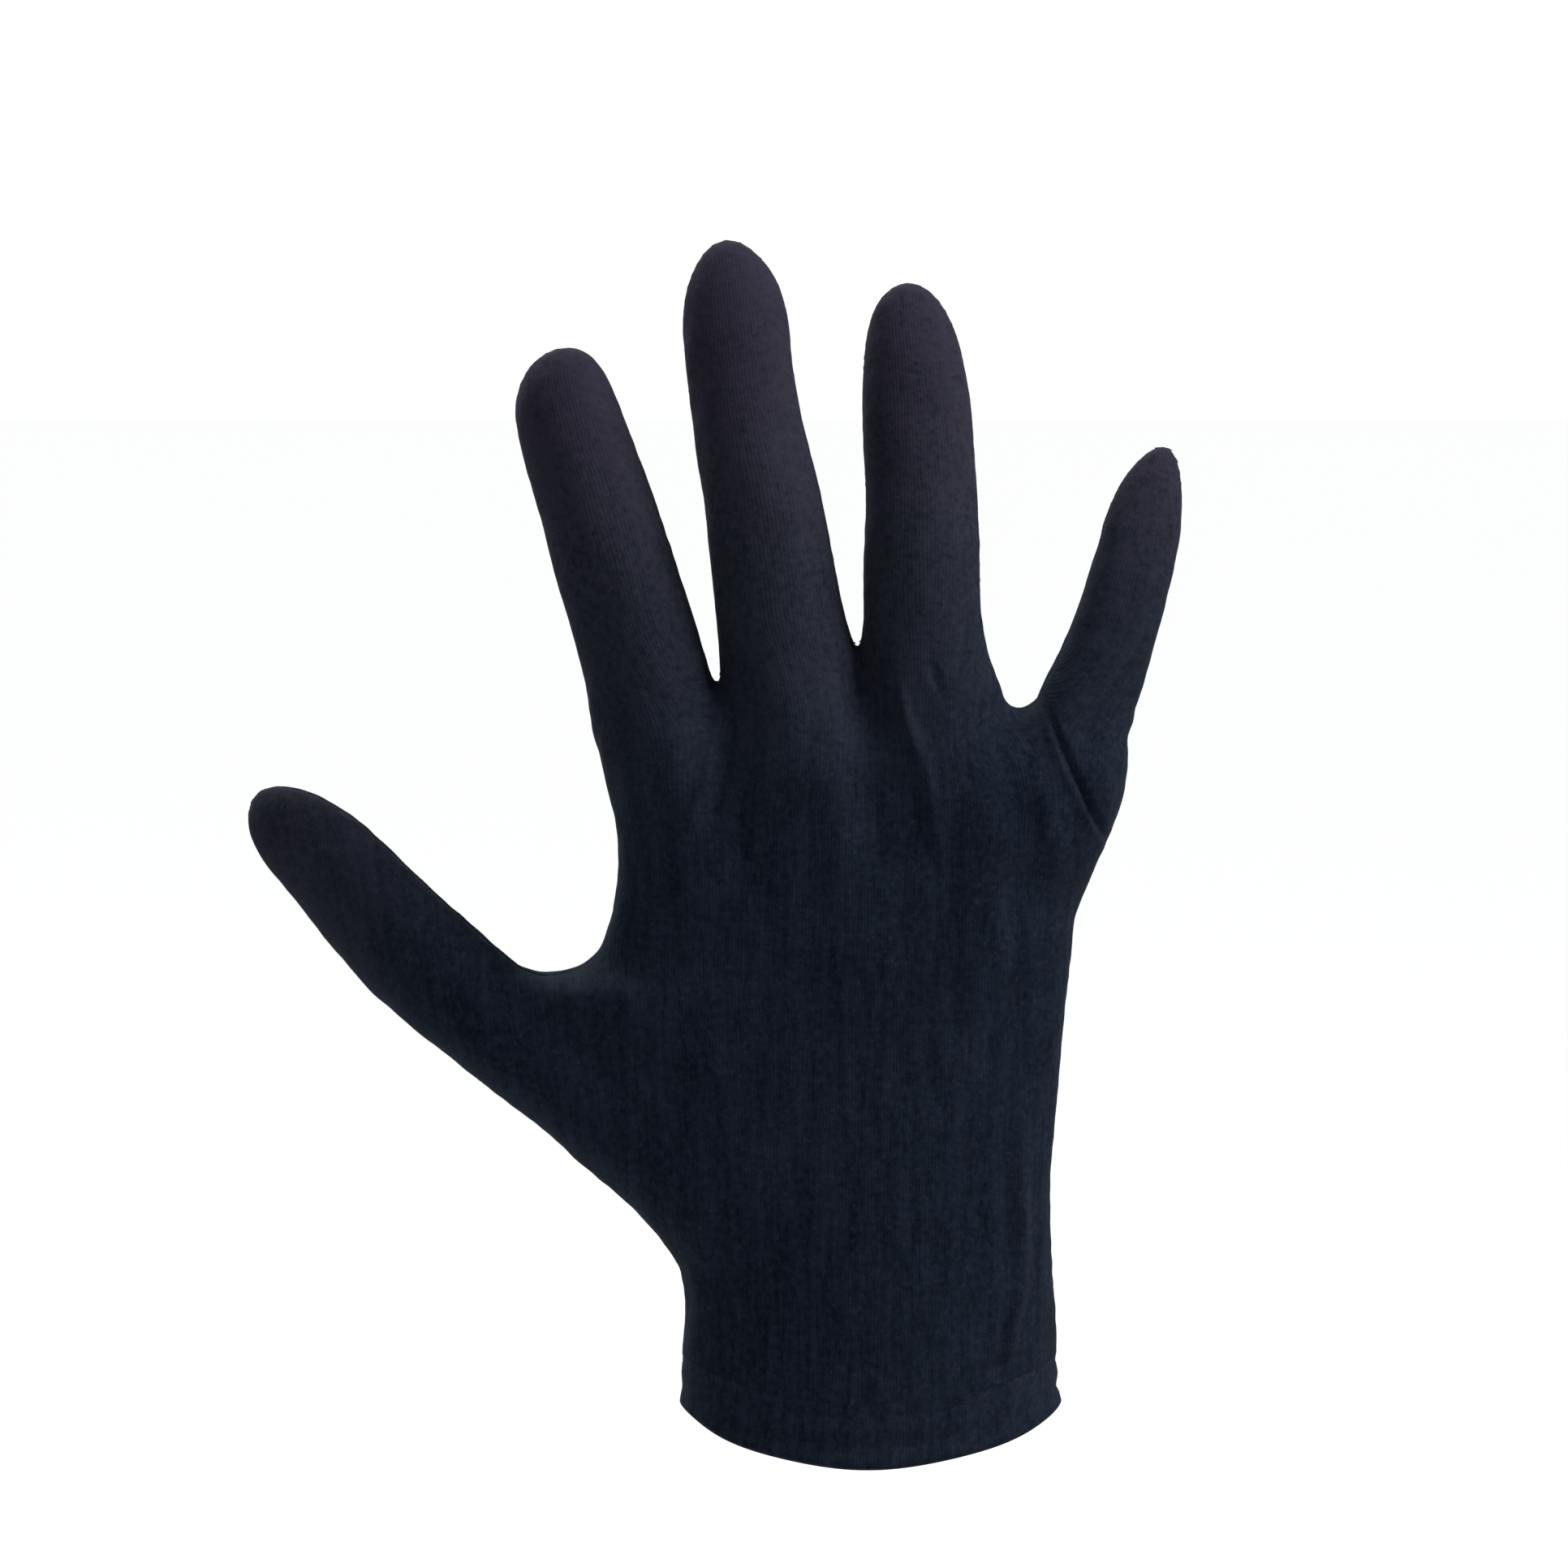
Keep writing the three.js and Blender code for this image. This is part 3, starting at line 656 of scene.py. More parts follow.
@dataclass
class WornHand:
    """The whole glove's outer surface before and after the hand inside it is bent."""

    finger_curl: float = 13.0
    finger_curl_start: float = 118.0
    finger_curl_reach: float = 105.0
    little_curl: float = 6.0
    little_side: Ramp = Ramp(22.0, 34.0)
    thumb_curl: float = 17.0
    thumb_curl_start: float = -38.0
    thumb_curl_reach: float = 78.0
    palm_arch: float = 2.5
    palm_arch_half_width: float = 48.0
    palm_arches: Ramp = Ramp(30.0, 60.0)
    hem_sag: float = 3.0
    hem_rise: float = 7.6
    hem_rises: Ramp = Ramp(40.0, -40.0)
    wrist_half_width: float = 35.3
    cloth_turns: Ramp = Ramp(118.0, 34.0)
    finger_begins: Ramp = Ramp(128.0, 20.0)
    thumb_begins: Ramp = Ramp(-62.0, -12.0)
    # Where the cloth turns paler up the fingers and thumb: stretched knit, and painted light as well
    stretch_and_light_rises: Ramp = Ramp(106.0, 66.0)
    stretch_and_light_later: float = 12.0
    ring_side: Ramp = Ramp(0.0, 20.0)
    thumb_stretch_and_light: float = 0.7
    thumb_stretch_and_light_rises: Ramp = Ramp(-74.0, -40.0)
    match_depth: float = 14.0
    probe: float = 0.05

    def __post_init__(self) -> None:
        """Makes the hand, the index, middle, ring and little fingers, and the thumb."""
        self.palm = Palm()
        self.fingers = (
            Limb(INDEX_ROWS, (62.3, 83.4)),
            Limb(MIDDLE_ROWS, (69.7, 90.5)),
            Limb(RING_ROWS, (64.0, 85.0), pattern_half_width=13.3, tip_wear_and_light=0.85),
            Limb(LITTLE_ROWS, (50.8, 63.9), pattern_half_width=10.5, tip_wear_and_light=0.65),
        )
        self.thumb = Thumb(THUMB_ROWS, (41.9, 81.4), tip_wear_and_light=0.3, wear_and_light_from=70.0)
        self.limbs = (*self.fingers, self.thumb)

    def distance(self, spots: Places) -> Array:
        """Nearly the distance outside the glove, negative inside.

        Args:
            spots: the places.

        Returns:
            The distance, in millimetres.
        """
        joined = self.fingers[0].distance(spots)
        for finger in self.fingers[1:]:
            joined = smooth_min(joined, finger.distance(spots), FINGER_JOIN)
        joined = smooth_min(joined, self.palm.distance(spots), HAND_JOIN)
        return smooth_min(joined, self.thumb.distance(spots), THUMB_JOIN)

    def gradient(self, points: Array) -> Array:
        """Slope of the distance at some points.

        Args:
            points: rows of x, y, z.

        Returns:
            Rows of slopes along X, Y and Z.
        """
        slopes = np.empty_like(points)
        for axis, step in enumerate(self.probe * np.eye(3)):
            ahead = self.distance(Places(*(points + step).T))
            behind = self.distance(Places(*(points - step).T))
            slopes[:, axis] = (ahead - behind) / (2.0 * self.probe)
        return slopes

    def matched_cloth(self, limb: Limb, spots: Places, side: Side) -> Array:
        """Places on the flat cloth by one limb's own grain, set to meet the hand's at the limb's base.

        Args:
            limb: the finger or thumb.
            spots: the places.
            side: which panel they are on.

        Returns:
            Rows of the distances across and along the cloth, in millimetres.
        """
        x, z = limb.place(limb.match_at, 0.0)
        meeting = Places(np.array([x]), np.array([side.value * self.match_depth]), np.array([z]))
        return np.stack(limb.cloth(spots, side), axis=1) + np.stack(self.palm.cloth(meeting, side), axis=1)

    def cloth(self, spots: Places, side: Side) -> Array:
        """Places on the flat cloth, in wales across and courses along.

        Args:
            spots: the places.
            side: which panel they are on.

        Returns:
            Rows of wale and course numbers.
        """
        total = np.stack(self.palm.cloth(spots, side), axis=1)
        near = np.stack([finger.nearness(spots) for finger in self.fingers])
        near /= near.sum(axis=0)
        fingers = sum(n[:, None] * self.matched_cloth(f, spots, side) for n, f in zip(near, self.fingers))
        finger_share = self.cloth_turns.at(spots.z)[:, None]
        total = total * (1.0 - finger_share) + fingers * finger_share
        thumb_share = self.thumb.share(spots)[:, None]
        total = total * (1.0 - thumb_share) + self.matched_cloth(self.thumb, spots, side) * thumb_share
        return total / np.array((WALE_SPACING, COURSE_SPACING))

    def on_fingers(self, spots: Places) -> Array:
        """Rises from 0 on the hand to 1 on the fingers and the thumb."""
        return np.maximum(self.finger_begins.at(spots.z), self.thumb_begins.at(spots.x))

    def stretched(self, spots: Places) -> Array:
        """How far the cloth is paler: 0 on the hand and 1 on the fingers, for knit stretched thinner there
        and for painted light as well, standing in for the light that falls more on the fingers.
        """
        on_finger = self.stretch_and_light_rises.at(spots.z - self.stretch_and_light_later * self.ring_side.at(spots.x))
        return np.maximum(on_finger, self.thumb_stretch_and_light * self.thumb_stretch_and_light_rises.at(spots.x))

    def worn(self, spots: Places) -> Array:
        """How far the cloth is paler towards a finger's tip, up to 1 there: knit worn pale by rubbing, and
        painted light on the fingertips as well.
        """
        return np.max([limb.wear_and_light_share(spots) for limb in self.limbs], axis=0)

    def bent(self, points: Array) -> Array:
        """Puts flat points in the worn pose: curled fingers, arched palm and the hem's rise.

        Args:
            points: rows of x, y, z before the hand is bent.

        Returns:
            Rows of x, y, z of the worn glove.
        """
        x, y, z = points.T
        finger = np.maximum((z - self.finger_curl_start) / self.finger_curl_reach, 0.0)
        thumb = np.maximum((self.thumb_curl_start - x) / self.thumb_curl_reach, 0.0)
        arch = self.palm_arches.at(z) * np.minimum((x / self.palm_arch_half_width) ** 2, 1.0)
        curl = self.finger_curl * finger**2 + self.little_curl * finger * self.little_side.at(x)
        shift = curl + self.thumb_curl * thumb**2 + self.palm_arch * arch
        rise = self.hem_rise * (x / self.wrist_half_width) ** 2 - self.hem_sag
        return np.stack((x, y + shift, z + rise * self.hem_rises.at(z)), axis=1)


@dataclass
class ClothFolds:
    """How far the cloth stands off the plain form: swells, folds, joint wrinkles, waves and the seam."""

    hand: WornHand
    seam_depth: float = 0.4
    cloth_stand: float = 0.3
    fade_from_seam: float = 7.0
    hem_groove: float = 0.04
    hem_groove_half_width: float = 1.4
    above_hem: Ramp = Ramp(PANEL_BOTTOM, 3.0)
    wave_count: int = 26
    wave_height: float = 0.085
    wave_lengths: tuple[float, float] = (7.0, 26.0)
    wave_seed: int = 11
    wave_begins: Ramp = Ramp(0.0, 3.0)
    pucker_height: float = 0.035
    pucker_lengths: tuple[float, float] = (2.6, 6.0)
    pucker_seed: int = 23
    pucker_begins: Ramp = Ramp(0.0, 2.0)
    pucker_from_seam: float = 2.2
    pucker_fades_over: float = 5.0
    wrinkle_spacing: float = 3.1
    wrinkle_share: float = 0.62
    plain_share: float = 0.45
    fade_share: float = 0.5
    crease_lips: tuple[tuple[float, float], ...] = ((1.5, 0.4), (-1.7, 0.2))
    crease_power: float = 1.4

    def joint_folds(self, side: Side) -> list[Fold]:
        """Wrinkles across each finger joint: faint on the back, deeper on the palm side.

        Args:
            side: which side they are on.

        Returns:
            The folds.
        """
        made = []
        kind = JOINT_WRINKLES[side]
        for limb in self.hand.limbs:
            for joint in limb.joints:
                reach = self.wrinkle_share * limb.half_width(joint)
                for number in (-1, 0, 1):
                    station = joint + number * self.wrinkle_spacing
                    start, end = limb.place(station, -reach), limb.place(station, reach)
                    height = kind.outer if number else kind.middle
                    made.append(Fold(kind.kind, start, end, kind.width, height, kind.bow * number))
        return made

    @staticmethod
    def swell_height(swell: Swell, spots: Places) -> Array:
        """Height of one swell.

        Args:
            swell: the swell.
            spots: the places.

        Returns:
            The height outwards at each place.
        """
        turn = math.radians(swell.turn)
        right, up = spots.x - swell.x, spots.z - swell.z
        along = right * math.sin(turn) + up * math.cos(turn)
        across = right * math.cos(turn) - up * math.sin(turn)
        return swell.height * np.exp(-((along / swell.length) ** 4) - (across / swell.width) ** 2)

    def fold_height(self, fold: Fold, spots: Places) -> Array:
        """Height of one fold.

        Args:
            fold: the fold.
            spots: the places.

        Returns:
            The height outwards at each place.
        """
        start, end = np.array(fold.start), np.array(fold.end)
        half = float(np.hypot(*(end - start))) / 2
        unit = (end - start) / (2 * half)
        middle = (start + end) / 2
        right, up = spots.x - middle[0], spots.z - middle[1]
        along = right * unit[0] + up * unit[1]
        across = right * unit[1] - up * unit[0]
        share = np.clip(along / half, -1.0, 1.0)
        scaled = (across - fold.bow * (1.0 - share * share)) / fold.width
        fade = bell(np.maximum(np.abs(along) - self.plain_share * half, 0.0), self.fade_share * half)
        if fold.kind is CREASE:
            lips = sum(height * bell(scaled - place, 1.0) for place, height in self.crease_lips)
            shape = lips - np.exp(-(np.abs(scaled) ** self.crease_power))
        else:
            shape = bell(scaled, 1.0) * (1.0 if fold.kind is RIDGE else -1.0)
        return fold.height * shape * fade

    def waves(self, points: Array, lengths: tuple[float, float], seed: int) -> Array:
        """A smooth uneven surface made of many plane waves.

        Args:
            points: rows of x, y, z.
            lengths: the shortest and the longest wavelength.
            seed: seed of the waves' directions and phases.

        Returns:
            A value for each point, about 1 in root mean square.
        """
        random = np.random.default_rng(seed)
        shortest, longest = lengths
        total = np.zeros(len(points))
        for _ in range(self.wave_count):
            direction = random.normal(size=3)
            direction /= np.linalg.norm(direction)
            length = shortest * (longest / shortest) ** random.random()
            total += np.sin(points @ direction * (2.0 * math.pi / length) + random.uniform(0, 2.0 * math.pi))
        return total * math.sqrt(2.0 / self.wave_count)

    def height(self, points: Array, side: Side) -> Array:
        """How far the cloth is moved outwards.

        Args:
            points: rows of x, y, z before the hand is bent.
            side: which panel they are on.

        Returns:
            The height at each point, in millimetres.
        """
        spots = Places(*points.T)
        from_seam = np.abs(spots.y)
        total = sum(self.swell_height(swell, spots) for swell in SWELLS[side])
        total += sum(self.fold_height(fold, spots) for fold in (*FOLDS[side], *self.joint_folds(side)))
        total *= np.minimum(from_seam / self.fade_from_seam, 1.0)
        wave = self.waves(points, self.wave_lengths, self.wave_seed)
        total += self.wave_height * wave * self.wave_begins.at(from_seam)
        total *= self.above_hem.at(spots.z)
        pucker = self.waves(points, self.pucker_lengths, self.pucker_seed)
        pucker *= bell(from_seam - self.pucker_from_seam, self.pucker_fades_over)
        total += self.pucker_height * pucker * self.pucker_begins.at(from_seam)
        total += self.cloth_stand * self.hand.on_fingers(spots)
        total -= self.seam_depth * bell(from_seam, SEAM_HALF_WIDTH)
        return total - self.hem_groove * bell(spots.z - PANEL_BOTTOM, self.hem_groove_half_width)


@dataclass
class QuadSkin:
    """A sheet of four-sided faces over the glove's outer surface, with its seam and lower edge marked."""

    hand: WornHand
    low: tuple[float, float] = (-119.0, -26.0)
    high: tuple[float, float, float] = (61.0, 27.0, 225.5)
    relax_rounds: int = 6
    relax_share: float = 0.6
    settle_rounds: int = 2
    least_slope: float = 0.05
    points: Array = field(init=False)
    faces: Array = field(init=False)
    at_seam: Array = field(init=False)
    at_bottom: Array = field(init=False)
    above_bottom: Array = field(init=False)

    def __post_init__(self) -> None:
        """Samples the distance, finds the surface and evens its faces out."""
        x = np.arange(self.low[0], self.high[0], MESH_STEP)
        layers = int(-self.low[1] / MESH_STEP)
        y = (np.arange(-layers, int(self.high[1] / MESH_STEP)) + 0.5) * MESH_STEP
        z = np.arange(PANEL_BOTTOM - MESH_STEP / 2, self.high[2], MESH_STEP)
        grid = Places(x[:, None, None], y[None, :, None], z[None, None, :])
        cells = self._find_faces(self.hand.distance(grid))
        self.points = np.array((x[0], y[0], z[0])) + self.points * MESH_STEP
        self.at_seam = cells[:, 1] == layers - 1
        self.at_bottom = cells[:, 2] == 0
        self.above_bottom = cells[:, 2] == 1
        self._even_out()

    def _find_faces(self, values: Array) -> Array:
        """Puts one point in each cell that the surface passes and joins them round each crossed edge.

        Args:
            values: distances at the grid's nodes.

        Returns:
            The cell of each point, as three numbers.
        """
        shape = np.array(values.shape)
        owners, crossings, quads = [], [], []
        for axis in range(3):
            first, second = (axis + 1) % 3, (axis + 2) % 3
            along = np.moveaxis(values, axis, 0)
            lower, upper = np.moveaxis(along[:-1], 0, axis), np.moveaxis(along[1:], 0, axis)
            crossed = (lower < 0.0) != (upper < 0.0)
            node = np.argwhere(crossed)
            before, after = lower[crossed], upper[crossed]
            place = node.astype(float)
            place[:, axis] += before / (before - after)
            usable = np.ones(len(node), dtype=bool)
            ring = []
            for shift_first, shift_second in ((0, 0), (-1, 0), (-1, -1), (0, -1)):
                cell = node.copy()
                cell[:, first] += shift_first
                cell[:, second] += shift_second
                inside = (cell >= 0).all(axis=1)
                usable &= inside & (cell < shape - 1).all(axis=1)
                owners.append(np.ravel_multi_index(cell[inside].T, values.shape))
                crossings.append(place[inside])
                ring.append(cell)
            corners = np.stack([np.ravel_multi_index(cell[usable].T, values.shape) for cell in ring], axis=1)
            outward = before[usable] < 0.0
            quads.append(np.where(outward[:, None], corners, corners[:, ::-1]))
        owner, crossing, quad = (np.concatenate(parts) for parts in (owners, crossings, quads))
        used = np.unique(quad)
        kept = np.isin(owner, used)
        number = np.searchsorted(used, owner[kept])
        count = np.bincount(number, minlength=len(used))
        parts = crossing[kept].T
        sums = [np.bincount(number, weights=part, minlength=len(used)) for part in parts]
        self.points = np.stack(sums, axis=1) / count[:, None]
        self.faces = np.searchsorted(used, quad)
        return np.stack(np.unravel_index(used, values.shape), axis=1)

    def _hold_edges(self) -> None:
        """Keeps the seam on y = 0, the lower edge level and the row above it close to the edge."""
        self.points[self.at_seam, 1] = 0.0
        self.points[self.at_bottom, 2] = PANEL_BOTTOM
        self.points[self.above_bottom, 2] = PANEL_BOTTOM + EDGE_SUPPORT

    def slope(self, numbers: Array) -> Array:
        """Slope of the distance at some of the points, with none across the seam or the lower edge.

        Args:
            numbers: the points.

        Returns:
            Rows of slopes along X, Y and Z.
        """
        slope = self.hand.gradient(self.points[numbers])
        slope[self.at_seam[numbers], 1] = 0.0
        slope[(self.at_bottom | self.above_bottom)[numbers], 2] = 0.0
        return slope

    def _even_out(self) -> None:
        """Moves each point to the middle of its neighbours and back to the surface, several times."""
        starts, ends = face_edges(self.faces).T
        count = len(self.points)
        everything = np.arange(count)
        degree = np.bincount(starts, minlength=count) + np.bincount(ends, minlength=count)
        for _ in range(self.relax_rounds):
            self._hold_edges()
            sums = np.empty_like(self.points)
            for axis, column in enumerate(self.points.T):
                sums[:, axis] = np.bincount(starts, weights=column[ends], minlength=count)
                sums[:, axis] += np.bincount(ends, weights=column[starts], minlength=count)
            self.points = (1.0 - self.relax_share) * self.points + self.relax_share * sums / degree[:, None]
            self._hold_edges()
            for _ in range(self.settle_rounds):
                slope = self.slope(everything)
                length = np.maximum((slope * slope).sum(axis=1), self.least_slope)
                self.points -= slope * (self.hand.distance(Places(*self.points.T)) / length)[:, None]
        self._hold_edges()

    def side(self, side: Side) -> tuple[Array, Array]:
        """Picks one panel's part of the skin.

        Args:
            side: the panel.

        Returns:
            The numbers of its points and its faces, as places in that list.
        """
        middle = self.points[self.faces][:, :, 1].mean(axis=1)
        faces = self.faces[middle * side.value > 0.0]
        used = np.unique(faces)
        return used, np.searchsorted(used, faces)


def mesh_object(name: str, points: Array, edges: Array | tuple, faces: Array | tuple) -> bpy.types.Object:
    """Makes a smooth-shaded object from points in millimetres.

    Args:
        name: the piece's name.
        points: rows of x, y, z in millimetres.
        edges: rows of two point numbers, where it has no faces.
        faces: rows of point numbers.

    Returns:
        The new object, linked to the scene.
    """
    mesh = bpy.data.meshes.new(name)
    mesh.from_pydata((points * METRES).tolist(), np.array(edges).tolist(), np.array(faces).tolist())
    mesh.polygons.foreach_set("use_smooth", np.ones(len(mesh.polygons), dtype=bool))
    mesh.validate()
    mesh.update()
    piece = bpy.data.objects.new(name, mesh)
    bpy.context.scene.collection.objects.link(piece)
    return piece


def carry(piece: bpy.types.Object, node: str | None = None) -> None:
    """Ties a finished piece to the glove's one body.

    Args:
        piece: the piece.
        node: the CAD node that it stands for, if there is one.
    """
    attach(piece, "root")
    if node is not None:
        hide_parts(node)


def lay_cloth(piece: bpy.types.Object, cloth: Array) -> None:
    """Stores the flat cloth under a piece as its UV map.

    Args:
        piece: the object.
        cloth: wale and course of each point.
    """
    layer = piece.data.uv_layers.new(name="cloth")
    corners = np.empty(len(piece.data.loops), dtype=np.int32)
    piece.data.loops.foreach_get("vertex_index", corners)
    layer.data.foreach_set("uv", cloth[corners].astype(np.float32).ravel())


def point_attribute(piece: bpy.types.Object, name: str, values: Array) -> None:
    """Stores one number for each point of a piece."""
    attribute = piece.data.attributes.new(name, "FLOAT", "POINT")
    attribute.data.foreach_set("value", values.astype(np.float32))


def give_wall(piece: bpy.types.Object, thickness: float, offset: float) -> None:
    """Gives a cloth sheet its thickness.

    Args:
        piece: the sheet.
        thickness: in millimetres.
        offset: -1 to grow inwards from the sheet, 0 to grow both ways.
    """
    wall = piece.modifiers.new("cloth wall", "SOLIDIFY")
    wall.thickness = thickness * METRES
    wall.offset = offset
    wall.use_rim = True


class Noise(NamedTuple):
    """A noise, the two values between which it rises, its share, and its scales on the cloth."""

    scale: float
    detail: float
    roughness: float
    low: float = 0.0
    high: float = 1.0
    share: float = 1.0
    across: float = 0.0
    along: float = 0.0

    def place(self, wale: Wire, course: Wire) -> Wire:
        """Gives the place on the cloth at which it is read."""
        return wale.graph.vector(wale * self.across, course * self.along)


class Wire:
    """One output socket in a material, with the arithmetic that adds Math nodes."""

    def __init__(self, graph: MaterialGraph, socket: bpy.types.NodeSocket) -> None:
        """Keeps the material's graph and the socket."""
        self.graph = graph
        self.socket = socket

    def _math(self, operation: str, *values: Wire | Number) -> Wire:
        """Adds one Math node."""
        return self.graph.node("ShaderNodeMath", {"operation": operation}, dict(enumerate(values)))

    def __add__(self, other: Wire | Number) -> Wire:
        """Adds."""
        return self._math("ADD", self, other)

    def __radd__(self, other: Number) -> Wire:
        """Adds, the number first."""
        return self._math("ADD", other, self)

    def __sub__(self, other: Wire | Number) -> Wire:
        """Subtracts."""
        return self._math("SUBTRACT", self, other)

    def __rsub__(self, other: Number) -> Wire:
        """Subtracts from a number."""
        return self._math("SUBTRACT", other, self)

    def __mul__(self, other: Wire | Number) -> Wire:
        """Multiplies."""
        return self._math("MULTIPLY", self, other)

    def __rmul__(self, other: Number) -> Wire:
        """Multiplies, the number first."""
        return self._math("MULTIPLY", other, self)

    def __pow__(self, power: Number) -> Wire:
        """Raises to a power."""
        return self._math("POWER", self, power)

    def __abs__(self) -> Wire:
        """Drops the sign."""
        return self._math("ABSOLUTE", self)

    def sine(self) -> Wire:
        """Gives the sine of the value in radians."""
        return self._math("SINE", self)

    def fraction(self) -> Wire:
        """Gives the part of the value after the point."""
        return self._math("FRACT", self)

    def between(self, low: Number, high: Number) -> Wire:
        """Rises smoothly from 0 at low to 1 at high."""
        settings = {"interpolation_type": "SMOOTHSTEP"}
        return self.graph.node("ShaderNodeMapRange", settings, {0: self, 1: low, 2: high, 3: 0.0, 4: 1.0})


class MaterialGraph:
    """A material's node tree with its Principled shader."""

    def __init__(self, name: str) -> None:
        """Makes an empty material.

        Args:
            name: the material's name.
        """
        self.material = bpy.data.materials.new(name)
        self.material.use_nodes = True
        self.tree = self.material.node_tree
        self.tree.nodes.clear()
        output = self.tree.nodes.new("ShaderNodeOutputMaterial")
        self.shader = self.tree.nodes.new("ShaderNodeBsdfPrincipled")
        self.tree.links.new(self.shader.outputs["BSDF"], output.inputs["Surface"])

    def node(self, kind: str, settings: dict, values: dict, output: str | int = 0) -> Wire:
        """Adds any node.

        Args:
            kind: the node's type.
            settings: the node's own properties, set first.
            values: numbers, colours or wires for its inputs, by name or number.
            output: the output to hand back.

        Returns:
            A wire from that output.
        """
        made = self.tree.nodes.new(kind)
        for name, value in settings.items():
            setattr(made, name, value)
        self.feed(made, values)
        return Wire(self, made.outputs[output])

    def feed(self, node: bpy.types.Node, values: dict) -> None:
        """Links wires to a node's inputs, and sets the others.

        Args:
            node: the node.
            values: numbers, colours or wires for its inputs, by name or number.
        """
        for name, value in values.items():
            if isinstance(value, Wire):
                self.tree.links.new(value.socket, node.inputs[name])
            else:
                node.inputs[name].default_value = value

    def dress(self, values: dict) -> bpy.types.Material:
        """Sets the shader's inputs and gives the finished material."""
        self.feed(self.shader, values)
        return self.material

    def noise(self, place: Wire, kind: Noise) -> Wire:
        """Adds a noise texture, read at a place."""
        values = {"Vector": place, "Scale": kind.scale, "Detail": kind.detail, "Roughness": kind.roughness}
        return self.node("ShaderNodeTexNoise", {}, values, "Fac")

    def patches(self, place: Wire, kind: Noise) -> Wire:
        """Adds a noise that rises from 0 to 1 between its two values."""
        return self.noise(place, kind).between(kind.low, kind.high)

    def bump(self, strength: float, depth: float, height: Wire) -> Wire:
        """Adds a bump of a strength and a depth in metres."""
        return self.node("ShaderNodeBump", {}, {"Strength": strength, "Distance": depth, "Height": height})

    def colour_mix(self, share: Wire | Number, first: Wire | Colour, second: Wire | Colour) -> Wire:
        """Mixes two colours: share is 0 for the first and 1 for the second."""
        settings = {"data_type": "RGBA", "blend_type": "MIX"}
        return self.node("ShaderNodeMix", settings, {0: share, 6: first, 7: second}, 2)

    def vector(self, x: Wire | Number, y: Wire | Number) -> Wire:
        """Joins two numbers in a flat vector."""
        return self.node("ShaderNodeCombineXYZ", {}, {0: x, 1: y, 2: 0.0})


